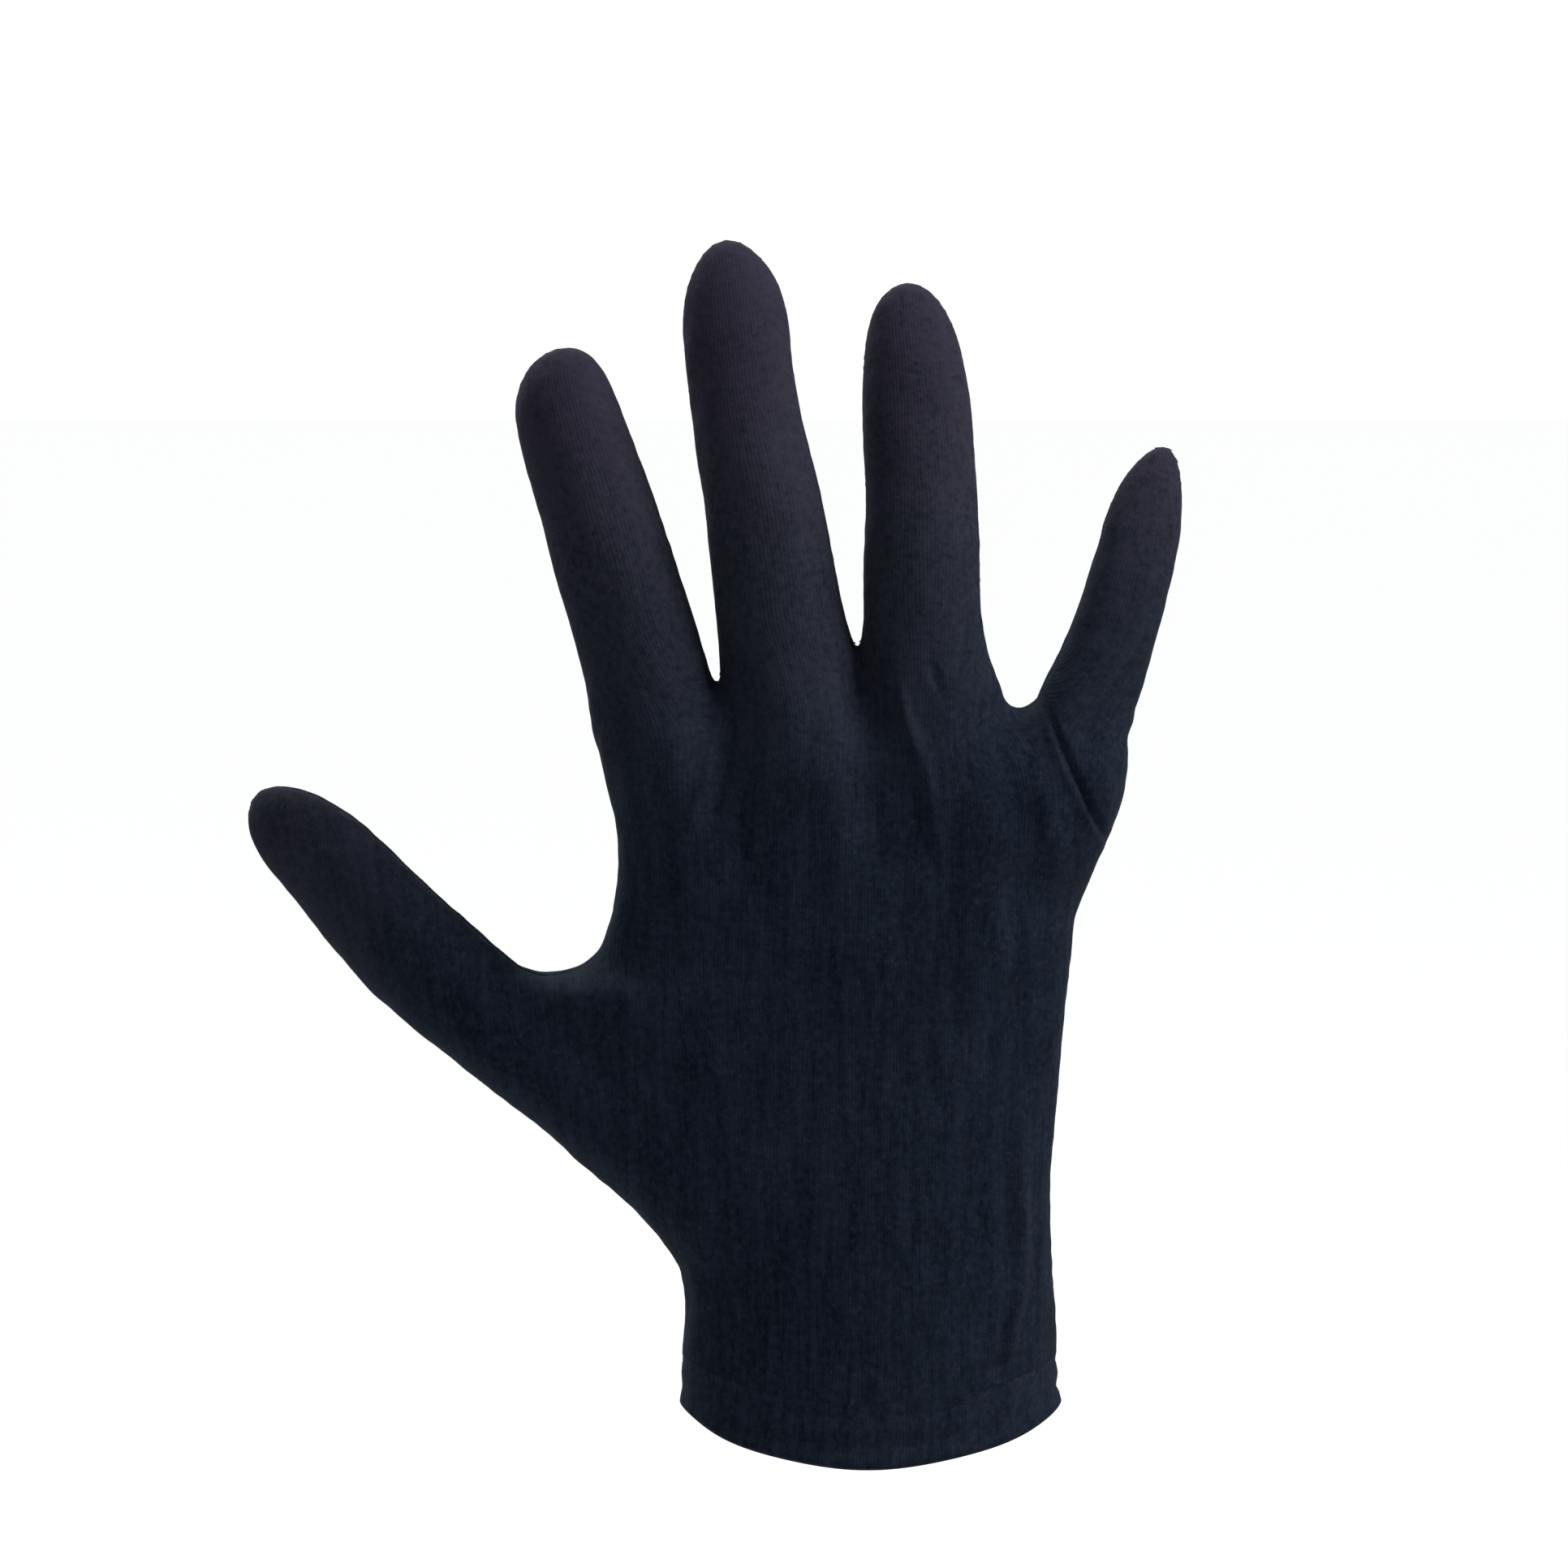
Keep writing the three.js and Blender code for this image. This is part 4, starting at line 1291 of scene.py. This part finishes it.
@dataclass(frozen=True)
class KnitFinish:
    """Fine ribbed knit, as a colour and a bump that follow the cloth's own wales and courses, with painted
    shade in the rib valleys and paler fingers that are partly painted light.
    """

    name: str
    dark: Colour = (0.0002, 0.0010, 0.0026, 1.0)
    light: Colour = (0.0058, 0.0084, 0.0138, 1.0)
    # Paler colour of the fingers: stretched knit, and painted light as well
    stretched: Colour = (0.0080, 0.0087, 0.0128, 1.0)
    # Paler colour at the tips: worn knit, and painted light as well
    worn: Colour = (0.0096, 0.0081, 0.0138, 1.0)
    fleck: Colour = (0.0150, 0.0170, 0.0240, 1.0)
    roughness: float = 0.92
    roughness_spread: float = 0.1
    specular: float = 0.012
    sheen: float = 0.004
    sheen_roughness: float = 0.5
    bump_strength: float = 0.6
    bump_depth: float = 0.00013
    rib_roundness: float = 0.8
    # Painted shade: how far the rib valleys are darkened towards the dark colour
    rib_valley_painted_shade: float = 0.14
    rib_height: float = 0.5
    stitch_share: float = 0.3
    stitch_lean: float = 1.1
    wander: Noise = Noise(1.0, 2.0, 0.5, share=1.6, across=0.1, along=0.035)
    fuzz: Noise = Noise(2200.0, 3.0, 0.65, share=0.5)
    pills: Noise = Noise(520.0, 2.0, 0.6, share=1.8)
    broad: Noise = Noise(34.0, 3.0, 0.55, 0.32, 0.68, 0.14)
    mottle: Noise = Noise(620.0, 2.0, 0.6, 0.26, 0.74, 0.3)
    bands: Noise = Noise(1.0, 2.0, 0.6, 0.32, 0.68, 0.22, 0.2, 0.016)
    streaks: Noise = Noise(1.0, 2.0, 0.6, 0.3, 0.7, 0.16, 0.6, 0.05)
    grain: Noise = Noise(1.0, 2.0, 0.6, 0.26, 0.74, 0.24, 0.7, 0.4)
    tone_drop: float = 0.04
    grit: Noise = Noise(800.0, 2.0, 0.6, 0.32, 0.68, 0.55)
    least_patchy: float = 0.18
    patchy_by_tone: float = 0.5
    flecks: Noise = Noise(1100.0, 1.0, 0.5, 0.6, 0.76, 0.22)

    def material(self) -> bpy.types.Material:
        """Builds the material.

        Returns:
            The knit's material.
        """
        graph = MaterialGraph(self.name)
        cloth = graph.node("ShaderNodeUVMap", {"uv_map": "cloth"}, {})
        wale, course = (graph.node("ShaderNodeSeparateXYZ", {}, {0: cloth}, axis) for axis in (0, 1))
        place = graph.node("ShaderNodeTexCoord", {}, {}, "Object")
        stretched, worn = (
            graph.node("ShaderNodeAttribute", {"attribute_name": name}, {}, "Fac")
            for name in ("stretched", "worn")
        )

        strayed = graph.noise(self.wander.place(wale, course), self.wander) - 0.5
        crooked = wale + self.wander.share * strayed
        rib = abs((crooked * math.pi).sine()) ** self.rib_roundness
        lean = abs(crooked.fraction() - 0.5)
        stitch = ((course + lean * self.stitch_lean) * (2.0 * math.pi)).sine() * 0.5 + 0.5
        ribbed = rib * (1.0 - self.stitch_share) + rib * stitch * self.stitch_share
        fuzz, pills = (kind.share * graph.noise(place, kind) for kind in (self.fuzz, self.pills))

        mottle = graph.patches(place, self.mottle)
        tone = self.broad.share * graph.patches(place, self.broad) + self.mottle.share * mottle
        for kind in (self.bands, self.streaks, self.grain):
            tone = tone + kind.share * graph.patches(kind.place(crooked, course), kind)
        tone = tone - self.tone_drop
        grit = self.grit.share * graph.patches(place, self.grit)
        patchy = self.least_patchy + self.patchy_by_tone * tone + grit
        knit = graph.colour_mix(tone, self.dark, self.light)
        # Paler on the fingers: stretched knit, partly painted light
        pale = graph.colour_mix(stretched * patchy, knit, self.stretched)
        # Paler at the tips: worn knit, partly painted light
        worn_and_lit = graph.colour_mix(worn * patchy, pale, self.worn)
        flecks = self.flecks.share * graph.patches(place, self.flecks)
        flecked = graph.colour_mix(flecks * patchy, worn_and_lit, self.fleck)
        height = self.rib_height * ribbed + fuzz + pills
        return graph.dress(
            {
                # Painted shade: the rib valleys darkened towards the dark colour
                "Base Color": graph.colour_mix((1.0 - rib) * self.rib_valley_painted_shade, flecked, self.dark),
                "Roughness": self.roughness + self.roughness_spread * (mottle - 0.5),
                "Normal": graph.bump(self.bump_strength, self.bump_depth, height),
                "Specular IOR Level": self.specular,
                "Sheen Weight": self.sheen,
                "Sheen Roughness": self.sheen_roughness,
            }
        )


@dataclass(frozen=True)
class ThreadFinish:
    """Black sewing thread with a fine twist."""

    name: str
    dark: Colour = (0.001, 0.002, 0.004, 1.0)
    light: Colour = (0.006, 0.008, 0.013, 1.0)
    roughness: float = 0.8
    roughness_spread: float = 0.15
    specular: float = 0.03
    bump_strength: float = 0.5
    bump_depth: float = 0.00008
    twist: Noise = Noise(2200.0, 2.0, 0.6, 0.3, 0.7)

    def material(self) -> bpy.types.Material:
        """Builds the material.

        Returns:
            The thread's material.
        """
        graph = MaterialGraph(self.name)
        twist = graph.patches(graph.node("ShaderNodeTexCoord", {}, {}, "Object"), self.twist)
        return graph.dress(
            {
                "Base Color": graph.colour_mix(twist, self.dark, self.light),
                "Roughness": self.roughness + self.roughness_spread * (twist - 0.5),
                "Normal": graph.bump(self.bump_strength, self.bump_depth, twist),
                "Specular IOR Level": self.specular,
            }
        )


@dataclass
class SewnPanels:
    """The back and palm panels, which are sewn together along the glove's outline."""

    hand: WornHand
    wall: float = 1.0
    flat_size: tuple[float, float] = (0.165, 0.225)
    flat_area: float = 0.022

    def __post_init__(self) -> None:
        """Makes the skin that both panels are cut from, and its folds."""
        self.skin = QuadSkin(self.hand)
        self.folds = ClothFolds(self.hand)

    def worn_points(self, numbers: Array, side: Side, lift: float = 0.0) -> Array:
        """Moves some of the skin's points out by the folds and into the worn pose.

        Args:
            numbers: the points.
            side: which panel they belong to.
            lift: how much further out they go, in millimetres.

        Returns:
            Rows of x, y, z of the worn glove.
        """
        flat = self.skin.points[numbers]
        slope = self.skin.slope(numbers)
        slope /= np.linalg.norm(slope, axis=1)[:, None]
        flat += slope * (self.folds.height(flat, side) + lift)[:, None]
        flat[self.skin.at_seam[numbers], 1] = 0.0
        return self.hand.bent(flat)

    def build(self, side: Side) -> bpy.types.Object:
        """Makes one panel.

        Args:
            side: which one.

        Returns:
            The panel's object.
        """
        label = side.name.lower()
        numbers, faces = self.skin.side(side)
        spots = Places(*self.skin.points[numbers].T)
        piece = mesh_object(f"{label}_cloth", self.worn_points(numbers, side), (), faces)
        lay_cloth(piece, self.hand.cloth(spots, side))
        # Masks of the paler fingers and tips: stretched and worn knit, and painted light as well
        point_attribute(piece, "stretched", self.hand.stretched(spots))
        point_attribute(piece, "worn", self.hand.worn(spots))
        give_wall(piece, self.wall, -1.0)
        piece.data.materials.append(KnitFinish(f"ribbed knit {label}").material())
        carry(piece, f"{label}_panel")
        return piece

    def seam_line(self, lift: float) -> tuple[Array, Array]:
        """The line along which the panels are sewn.

        Args:
            lift: how far it stands out of the seam's groove, in millimetres.

        Returns:
            Its points and its edges.
        """
        edges = face_edges(self.skin.faces)
        edges = edges[self.skin.at_seam[edges].all(axis=1)]
        used = np.unique(edges)
        return self.worn_points(used, Side.BACK, lift), np.searchsorted(used, edges)


class Ripple(NamedTuple):
    """One wave round the wrist: its height, how many times it rises, and its phase."""

    height: float
    number: int
    phase: float


def ripples(angle: Array, waves: tuple[Ripple, ...]) -> Array:
    """Adds up waves round the wrist."""
    return sum(wave.height * np.sin(wave.number * angle + wave.phase) for wave in waves)


@dataclass
class CuffHem:
    """The turned hem: a strip of the same knit, painted a little lighter for the light on its band, folded
    up inside the wrist and stitched at its top.
    """

    hand: WornHand
    top: float = 11.28
    inner_top: float = 13.4
    inset: float = 0.42
    layer_gap: float = 1.2
    wall: float = 0.85
    ring_points: int = 260
    outline_points: int = 4001
    rows_down: int = 15
    rows_fold: int = 9
    rows_up: int = 12
    loose_below: float = 6.0
    flare: float = 0.5
    side_wave: float = 0.22
    side_ripples: tuple[Ripple, ...] = (Ripple(1.0, 3, 0.6), Ripple(0.7, 5, 2.1), Ripple(0.45, 9, 4.0))
    edge_wave: float = 0.35
    edge_ripples: tuple[Ripple, ...] = (Ripple(0.6, 4, 1.0), Ripple(0.4, 7, 3.0))
    stitch_height: float = 9.7
    stitch_pitch: float = 2.6
    stitch_dip: float = 0.16
    stitch_dip_half_width: float = 0.8
    even_share: float = 0.7
    soft_roll: float = 0.28
    roll_spacing: float = 6.2
    roll_crest: float = 6.6
    roll_ripples: tuple[Ripple, ...] = (Ripple(0.3, 3, 1.0),)
    flat_at_top: float = 3.0
    top_roll: float = 0.03
    top_roll_half_width: float = 0.7
    seam_depth: float = 0.45
    merge_distance: float = 0.001
    # Painted light: the hem's knit has a paler light colour than the panels', standing in for the light on
    # its band
    light: Colour = (0.0068, 0.0097, 0.0158, 1.0)
    flat_size: tuple[float, float] = (0.19, 0.024)
    run: Array = field(init=False)
    angles: Array = field(init=False)

    def __post_init__(self) -> None:
        """Spaces the ring's points evenly along the wrist's outline."""
        fine = np.linspace(0.0, 2.0 * math.pi, self.outline_points)
        x, y = self.outline(0.0, fine)
        fine_run = np.concatenate(([0.0], np.cumsum(np.hypot(np.diff(x), np.diff(y)))))
        self.run = np.linspace(0.0, fine_run[-1], self.ring_points + 1)
        self.angles = np.interp(self.run, fine_run, fine)

    def outline(self, grow: Array | float, angle: Array) -> tuple[Array, Array]:
        """The wrist's outline at the panels' lower edge.

        Args:
            grow: how far it is drawn out.
            angle: angles round the wrist.

        Returns:
            The places along X and along Y.
        """
        palm = self.hand.palm
        lookups = (palm.centre, palm.half_width, palm.power, *palm.depth.values())
        centre, half_width, power, back, front = (palm.at(lookup, PANEL_BOTTOM) for lookup in lookups)
        cosine, sine = np.cos(angle), np.sin(angle)
        depth = np.where(sine < 0.0, back, front) + grow
        x = centre + (half_width + grow) * np.sign(cosine) * np.abs(cosine) ** (2.0 / power)
        return x, depth * np.sign(sine) * np.abs(sine) ** (2.0 / power)

    def profile(self) -> tuple[Array, Array]:
        """The strip's section: down the outside, round the fold and up the inside.

        Returns:
            How far each row lies outside the wrist's outline, and its height.
        """
        radius = self.layer_gap / 2
        down = np.linspace(self.top, radius, self.rows_down)
        down[1] = self.top - EDGE_SUPPORT
        turn = np.linspace(0.0, math.pi, self.rows_fold + 2)[1:-1]
        up = np.linspace(radius, self.inner_top, self.rows_up)
        parts = (np.zeros_like(down), radius * np.cos(turn) - radius, np.full_like(up, -2 * radius))
        return np.concatenate(parts) - self.inset, np.concatenate((down, radius - radius * np.sin(turn), up))

    def worn_points(self, grow: Array | float, height: Array, outer: Array | float, shown: slice) -> Array:
        """Places the hem's points in the worn pose, with all that makes them stray from a plain band.

        Args:
            grow: how far they lie outside the wrist's outline.
            height: their heights.
            outer: 1 on the outer layer and 0 on the inner.
            shown: which of the ring's points are wanted.

        Returns:
            Rows of x, y, z, one ring after the other.
        """
        angle, run = self.angles[shown], self.run[shown]
        loose = Ramp(self.loose_below, -self.loose_below).at(height)
        pull = self.even_share + (1.0 - self.even_share) * np.cos(2.0 * math.pi * run / self.stitch_pitch)
        dip = self.stitch_dip * bell(height - self.stitch_height, self.stitch_dip_half_width) * pull
        top_roll = self.top_roll * bell(height - self.top, self.top_roll_half_width)
        roll = np.cos(2.0 * math.pi * (height - self.roll_crest) / self.roll_spacing)
        roll = roll * (self.even_share + ripples(angle, self.roll_ripples))
        soft_roll = self.soft_roll * roll * Ramp(self.top, -self.flat_at_top).at(height)
        _, plain_y = self.outline(0.0, angle)
        seam = self.seam_depth * bell(plain_y, SEAM_HALF_WIDTH)
        outward = (self.flare + self.side_wave * ripples(angle, self.side_ripples)) * loose
        x, y = self.outline(grow + outward + (soft_roll - dip - top_roll - seam) * outer, angle)
        z = height + self.edge_wave * ripples(angle, self.edge_ripples) * loose
        return self.hand.bent(np.stack((x, y, z), axis=-1).reshape(-1, 3))

    def build(self) -> bpy.types.Object:
        """Makes the hem.

        Returns:
            The hem's object.
        """
        grow, height = self.profile()
        outer = (grow > -self.inset - self.layer_gap / 2).astype(float)
        points = self.worn_points(grow[:, None], height[:, None], outer[:, None], slice(None))
        index = np.arange(len(points)).reshape(len(grow), -1)
        corners = (index[:-1, :-1], index[1:, :-1], index[1:, 1:], index[:-1, 1:])
        piece = mesh_object("hem_cloth", points, (), np.stack(corners, axis=2).reshape(-1, 4))
        profile_run = np.concatenate(([0.0], np.cumsum(np.hypot(np.diff(grow), np.diff(height)))))
        cloth = np.meshgrid(self.run / WALE_SPACING, (PANEL_BOTTOM - profile_run) / COURSE_SPACING)
        lay_cloth(piece, np.stack(cloth, axis=2).reshape(-1, 2))
        self._close_ring(piece)
        give_wall(piece, self.wall, 0.0)
        # Painted light: the hem's knit is lighter than the panels'
        piece.data.materials.append(KnitFinish("ribbed knit hem", light=self.light).material())
        carry(piece, "cuff_hem")
        return piece

    def _close_ring(self, piece: bpy.types.Object) -> None:
        """Merges the ring's first and last columns, which lie in the same place.

        Args:
            piece: the hem.
        """
        work = bmesh.new()
        work.from_mesh(piece.data)
        bmesh.ops.remove_doubles(work, verts=work.verts, dist=self.merge_distance * METRES)
        bmesh.ops.recalc_face_normals(work, faces=work.faces)
        work.to_mesh(piece.data)
        work.free()

    def stitch_line(self, lift: float) -> tuple[Array, Array]:
        """The line round the hem that the stitches follow.

        Args:
            lift: how far it stands outside the cloth's middle, in millimetres.

        Returns:
            Its points and its edges.
        """
        height = np.full(self.ring_points, self.stitch_height)
        points = self.worn_points(lift - self.inset, height, 1.0, slice(-1))
        numbers = np.arange(self.ring_points)
        return points, np.stack((numbers, np.roll(numbers, -1)), axis=1)


# The stitches' node tree. Columns: node, type, settings, values of its inputs
STITCH_NODES = (
    ("source", "NodeGroupInput", {}, {}),
    ("line", "GeometryNodeMeshToCurve", {}, {}),
    ("even", "GeometryNodeResampleCurve", {"mode": "LENGTH"}, {}),
    ("bead", "GeometryNodeMeshUVSphere", {}, {"Segments": 6, "Rings": 5, "Radius": 0.5}),
    ("smooth", "GeometryNodeSetShadeSmooth", {}, {}),
    ("size", "ShaderNodeCombineXYZ", {}, {}),
    ("tangent", "GeometryNodeInputTangent", {}, {}),
    (
        "stray",
        "FunctionNodeRandomValue",
        {"data_type": "FLOAT_VECTOR"},
        {"Min": (-1.0, -1.0, -1.0), "Max": (1.0, 1.0, 1.0)},
    ),
    ("scaled", "ShaderNodeVectorMath", {"operation": "SCALE"}, {}),
    ("heading", "ShaderNodeVectorMath", {"operation": "ADD"}, {}),
    ("align", "FunctionNodeAlignRotationToVector", {"axis": "Z"}, {}),
    ("place", "GeometryNodeInstanceOnPoints", {}, {}),
    ("real", "GeometryNodeRealizeInstances", {}, {}),
    ("dress", "GeometryNodeSetMaterial", {}, {}),
    ("result", "NodeGroupOutput", {}, {}),
)

# Columns: node, its output, next node, its input
STITCH_LINKS = (
    ("source", "Geometry", "line", "Mesh"),
    ("line", "Curve", "even", "Curve"),
    ("source", "Pitch", "even", "Length"),
    ("even", "Curve", "place", "Points"),
    ("bead", "Mesh", "smooth", "Geometry"),
    ("smooth", "Geometry", "place", "Instance"),
    ("source", "Stitch Thickness", "size", "X"),
    ("source", "Stitch Thickness", "size", "Y"),
    ("source", "Stitch Length", "size", "Z"),
    ("size", "Vector", "place", "Scale"),
    ("source", "Seed", "stray", "Seed"),
    ("stray", "Value", "scaled", 0),
    ("source", "Lean", "scaled", "Scale"),
    ("tangent", "Tangent", "heading", 0),
    ("scaled", "Vector", "heading", 1),
    ("heading", "Vector", "align", "Vector"),
    ("align", "Rotation", "place", "Rotation"),
    ("place", "Instances", "real", "Geometry"),
    ("real", "Geometry", "dress", "Geometry"),
    ("source", "Thread", "dress", "Material"),
    ("dress", "Geometry", "result", "Geometry"),
)


@dataclass
class StitchRow:
    """A row of stitches that Geometry Nodes lay along a line."""

    name: str
    pitch: float
    length: float
    thickness: float
    slot: str
    seed: int
    lean: float = 0.12

    def tree(self) -> bpy.types.GeometryNodeTree:
        """Builds the node tree: line, even points, one stitch at each, realized, with its material.

        Returns:
            The tree.
        """
        tree = bpy.data.node_groups.new(f"{self.name} along a line", "GeometryNodeTree")
        tree.is_modifier = True
        sockets = [("Geometry", "INPUT", "Geometry"), ("Geometry", "OUTPUT", "Geometry")]
        sizes = ("Pitch", "Stitch Length", "Stitch Thickness", "Lean")
        sockets += [(size, "INPUT", "Float") for size in sizes]
        sockets += [("Seed", "INPUT", "Int"), ("Thread", "INPUT", "Material")]
        for name, way, kind in sockets:
            tree.interface.new_socket(name, in_out=way, socket_type=f"NodeSocket{kind}")
        nodes = {}
        for name, kind, settings, values in STITCH_NODES:
            nodes[name] = tree.nodes.new(kind)
            for setting, value in settings.items():
                setattr(nodes[name], setting, value)
            for socket, value in values.items():
                nodes[name].inputs[socket].default_value = value
        for source, output, target, socket in STITCH_LINKS:
            tree.links.new(nodes[source].outputs[output], nodes[target].inputs[socket])
        return tree

    def build(self, points: Array, edges: Array, thread: bpy.types.Material) -> bpy.types.Object:
        """Lays the stitches along a line and makes them a plain mesh.

        Args:
            points: the line's points, in millimetres.
            edges: the line's edges.
            thread: the thread's material.

        Returns:
            The stitches' object.
        """
        piece = mesh_object(self.name, points, edges, ())
        modifier = piece.modifiers.new("stitches", "NODES")
        modifier.node_group = self.tree()
        chosen = {
            "Pitch": self.pitch * METRES,
            "Stitch Length": self.length * METRES,
            "Stitch Thickness": self.thickness * METRES,
            "Lean": self.lean,
            "Seed": self.seed,
            "Thread": thread,
        }
        for socket in modifier.node_group.interface.items_tree:
            if socket.name in chosen:
                modifier[socket.identifier] = chosen[socket.name]
        piece.update_tag()
        graph = bpy.context.evaluated_depsgraph_get()
        plain = bpy.data.meshes.new_from_object(piece.evaluated_get(graph))
        piece.modifiers.remove(modifier)
        piece.data = plain
        plain.name = self.name
        carry(piece)
        return piece


class Lamp(NamedTuple):
    """One soft lamp: where it stands round the glove, its size in metres, its power and its colour."""

    name: str
    azimuth: float
    elevation: float
    distance: float
    size: float
    power: float
    colour: tuple[float, float, float]


@dataclass
class Studio:
    """The camera, the pale floor, the world and the lamps, in metres but for the floor's millimetres."""

    target: tuple[float, float, float] = (-0.016, 0.0, 0.122)
    camera_distance: float = 1.2
    camera_elevation: float = 7.0
    view_width: float = 0.292
    sensor: float = 36.0
    nearest: float = 0.01
    farthest: float = 50.0
    floor_height: float = -600.0
    floor_half_width: float = 12000.0
    floor_colour: Colour = (0.97, 0.97, 0.97, 1.0)
    floor_roughness: float = 0.9
    world_colour: Colour = (0.99, 0.995, 1.0, 1.0)
    world_strength: float = 1.02
    lamps: tuple[Lamp, ...] = (
        Lamp("key", 76.0, 48.0, 0.95, 0.4, 37.0, (1.0, 0.95, 0.93)),
        Lamp("back fill", 222.0, 38.0, 1.4, 0.6, 60.0, (0.96, 0.98, 1.0)),
    )

    def _stand(
        self, data: bpy.types.ID, azimuth: float, elevation: float, distance: float
    ) -> bpy.types.Object:
        """Stands the camera or a lamp somewhere round the glove, turned to it.

        Args:
            data: the camera or the lamp.
            azimuth: degrees from the front, towards +X.
            elevation: degrees upwards.
            distance: metres from the glove's middle.

        Returns:
            Its object, linked to the scene.
        """
        turn, rise = math.radians(azimuth), math.radians(elevation)
        towards = Vector((math.sin(turn) * math.cos(rise), -math.cos(turn) * math.cos(rise), math.sin(rise)))
        stood = bpy.data.objects.new(data.name, data)
        stood.location = Vector(self.target) + towards * distance
        stood.rotation_mode = "QUATERNION"
        stood.rotation_quaternion = (-towards).to_track_quat("-Z", "Y")
        bpy.context.scene.collection.objects.link(stood)
        return stood

    def camera(self) -> None:
        """Places the camera at the photograph's viewing angle."""
        data = bpy.data.cameras.new("camera")
        data.sensor_width = self.sensor
        data.lens = self.sensor * self.camera_distance / self.view_width
        data.clip_start, data.clip_end = self.nearest, self.farthest
        bpy.context.scene.camera = self._stand(data, 0.0, self.camera_elevation, self.camera_distance)

    def floor(self) -> None:
        """Lays the pale floor well below the held glove."""
        corners = np.array(((-1.0, -1.0, 0.0), (1.0, -1.0, 0.0), (1.0, 1.0, 0.0), (-1.0, 1.0, 0.0)))
        points = corners * self.floor_half_width + np.array((0.0, 0.0, self.floor_height))
        floor = mesh_object("floor", points, (), ((0, 1, 2, 3),))
        look = {"Base Color": self.floor_colour, "Roughness": self.floor_roughness}
        floor.data.materials.append(MaterialGraph("pale floor").dress(look))

    def world(self) -> None:
        """Lights everything evenly with a near-white world."""
        world = bpy.data.worlds.new("studio")
        world.use_nodes = True
        background = world.node_tree.nodes["Background"]
        background.inputs["Color"].default_value = self.world_colour
        background.inputs["Strength"].default_value = self.world_strength
        bpy.context.scene.world = world

    def lights(self) -> None:
        """Places the soft lamps, each turned to the glove."""
        for lamp in self.lamps:
            data = bpy.data.lights.new(lamp.name, "AREA")
            data.shape = "SQUARE"
            data.size = lamp.size
            data.energy = lamp.power
            data.color = lamp.colour
            self._stand(data, lamp.azimuth, lamp.elevation, lamp.distance)

    def build(self) -> None:
        """Builds the whole studio, shown in plain display colours."""
        bpy.context.scene.view_settings.view_transform = "Standard"
        self.camera()
        self.floor()
        self.world()
        self.lights()


def main() -> None:
    """Builds the studio and the glove's pieces in order."""
    logging.basicConfig(level=logging.INFO, format="%(name)s: %(message)s")
    Studio().build()
    hand = WornHand()
    panels = SewnPanels(hand)
    cloths = {side: panels.build(side) for side in Side}
    cuff = CuffHem(hand)
    hem = cuff.build()
    thread = ThreadFinish("black thread").material()
    hem_row = StitchRow("hem_stitches", cuff.stitch_pitch, 1.5, 0.2, "knit_hem", 5)
    hem_stitches = hem_row.build(*cuff.stitch_line(cuff.wall / 2), thread)
    seam_row = StitchRow("seam_stitches", 2.4, 1.3, 0.22, "knit_back", 8)
    seam_stitches = seam_row.build(*panels.seam_line(0.05), thread)
    for piece in (*cloths.values(), hem, hem_stitches, seam_stitches):
        LOG.info("%s: %d faces", piece.name, len(piece.data.polygons))


if __name__ == "__main__":
    main()
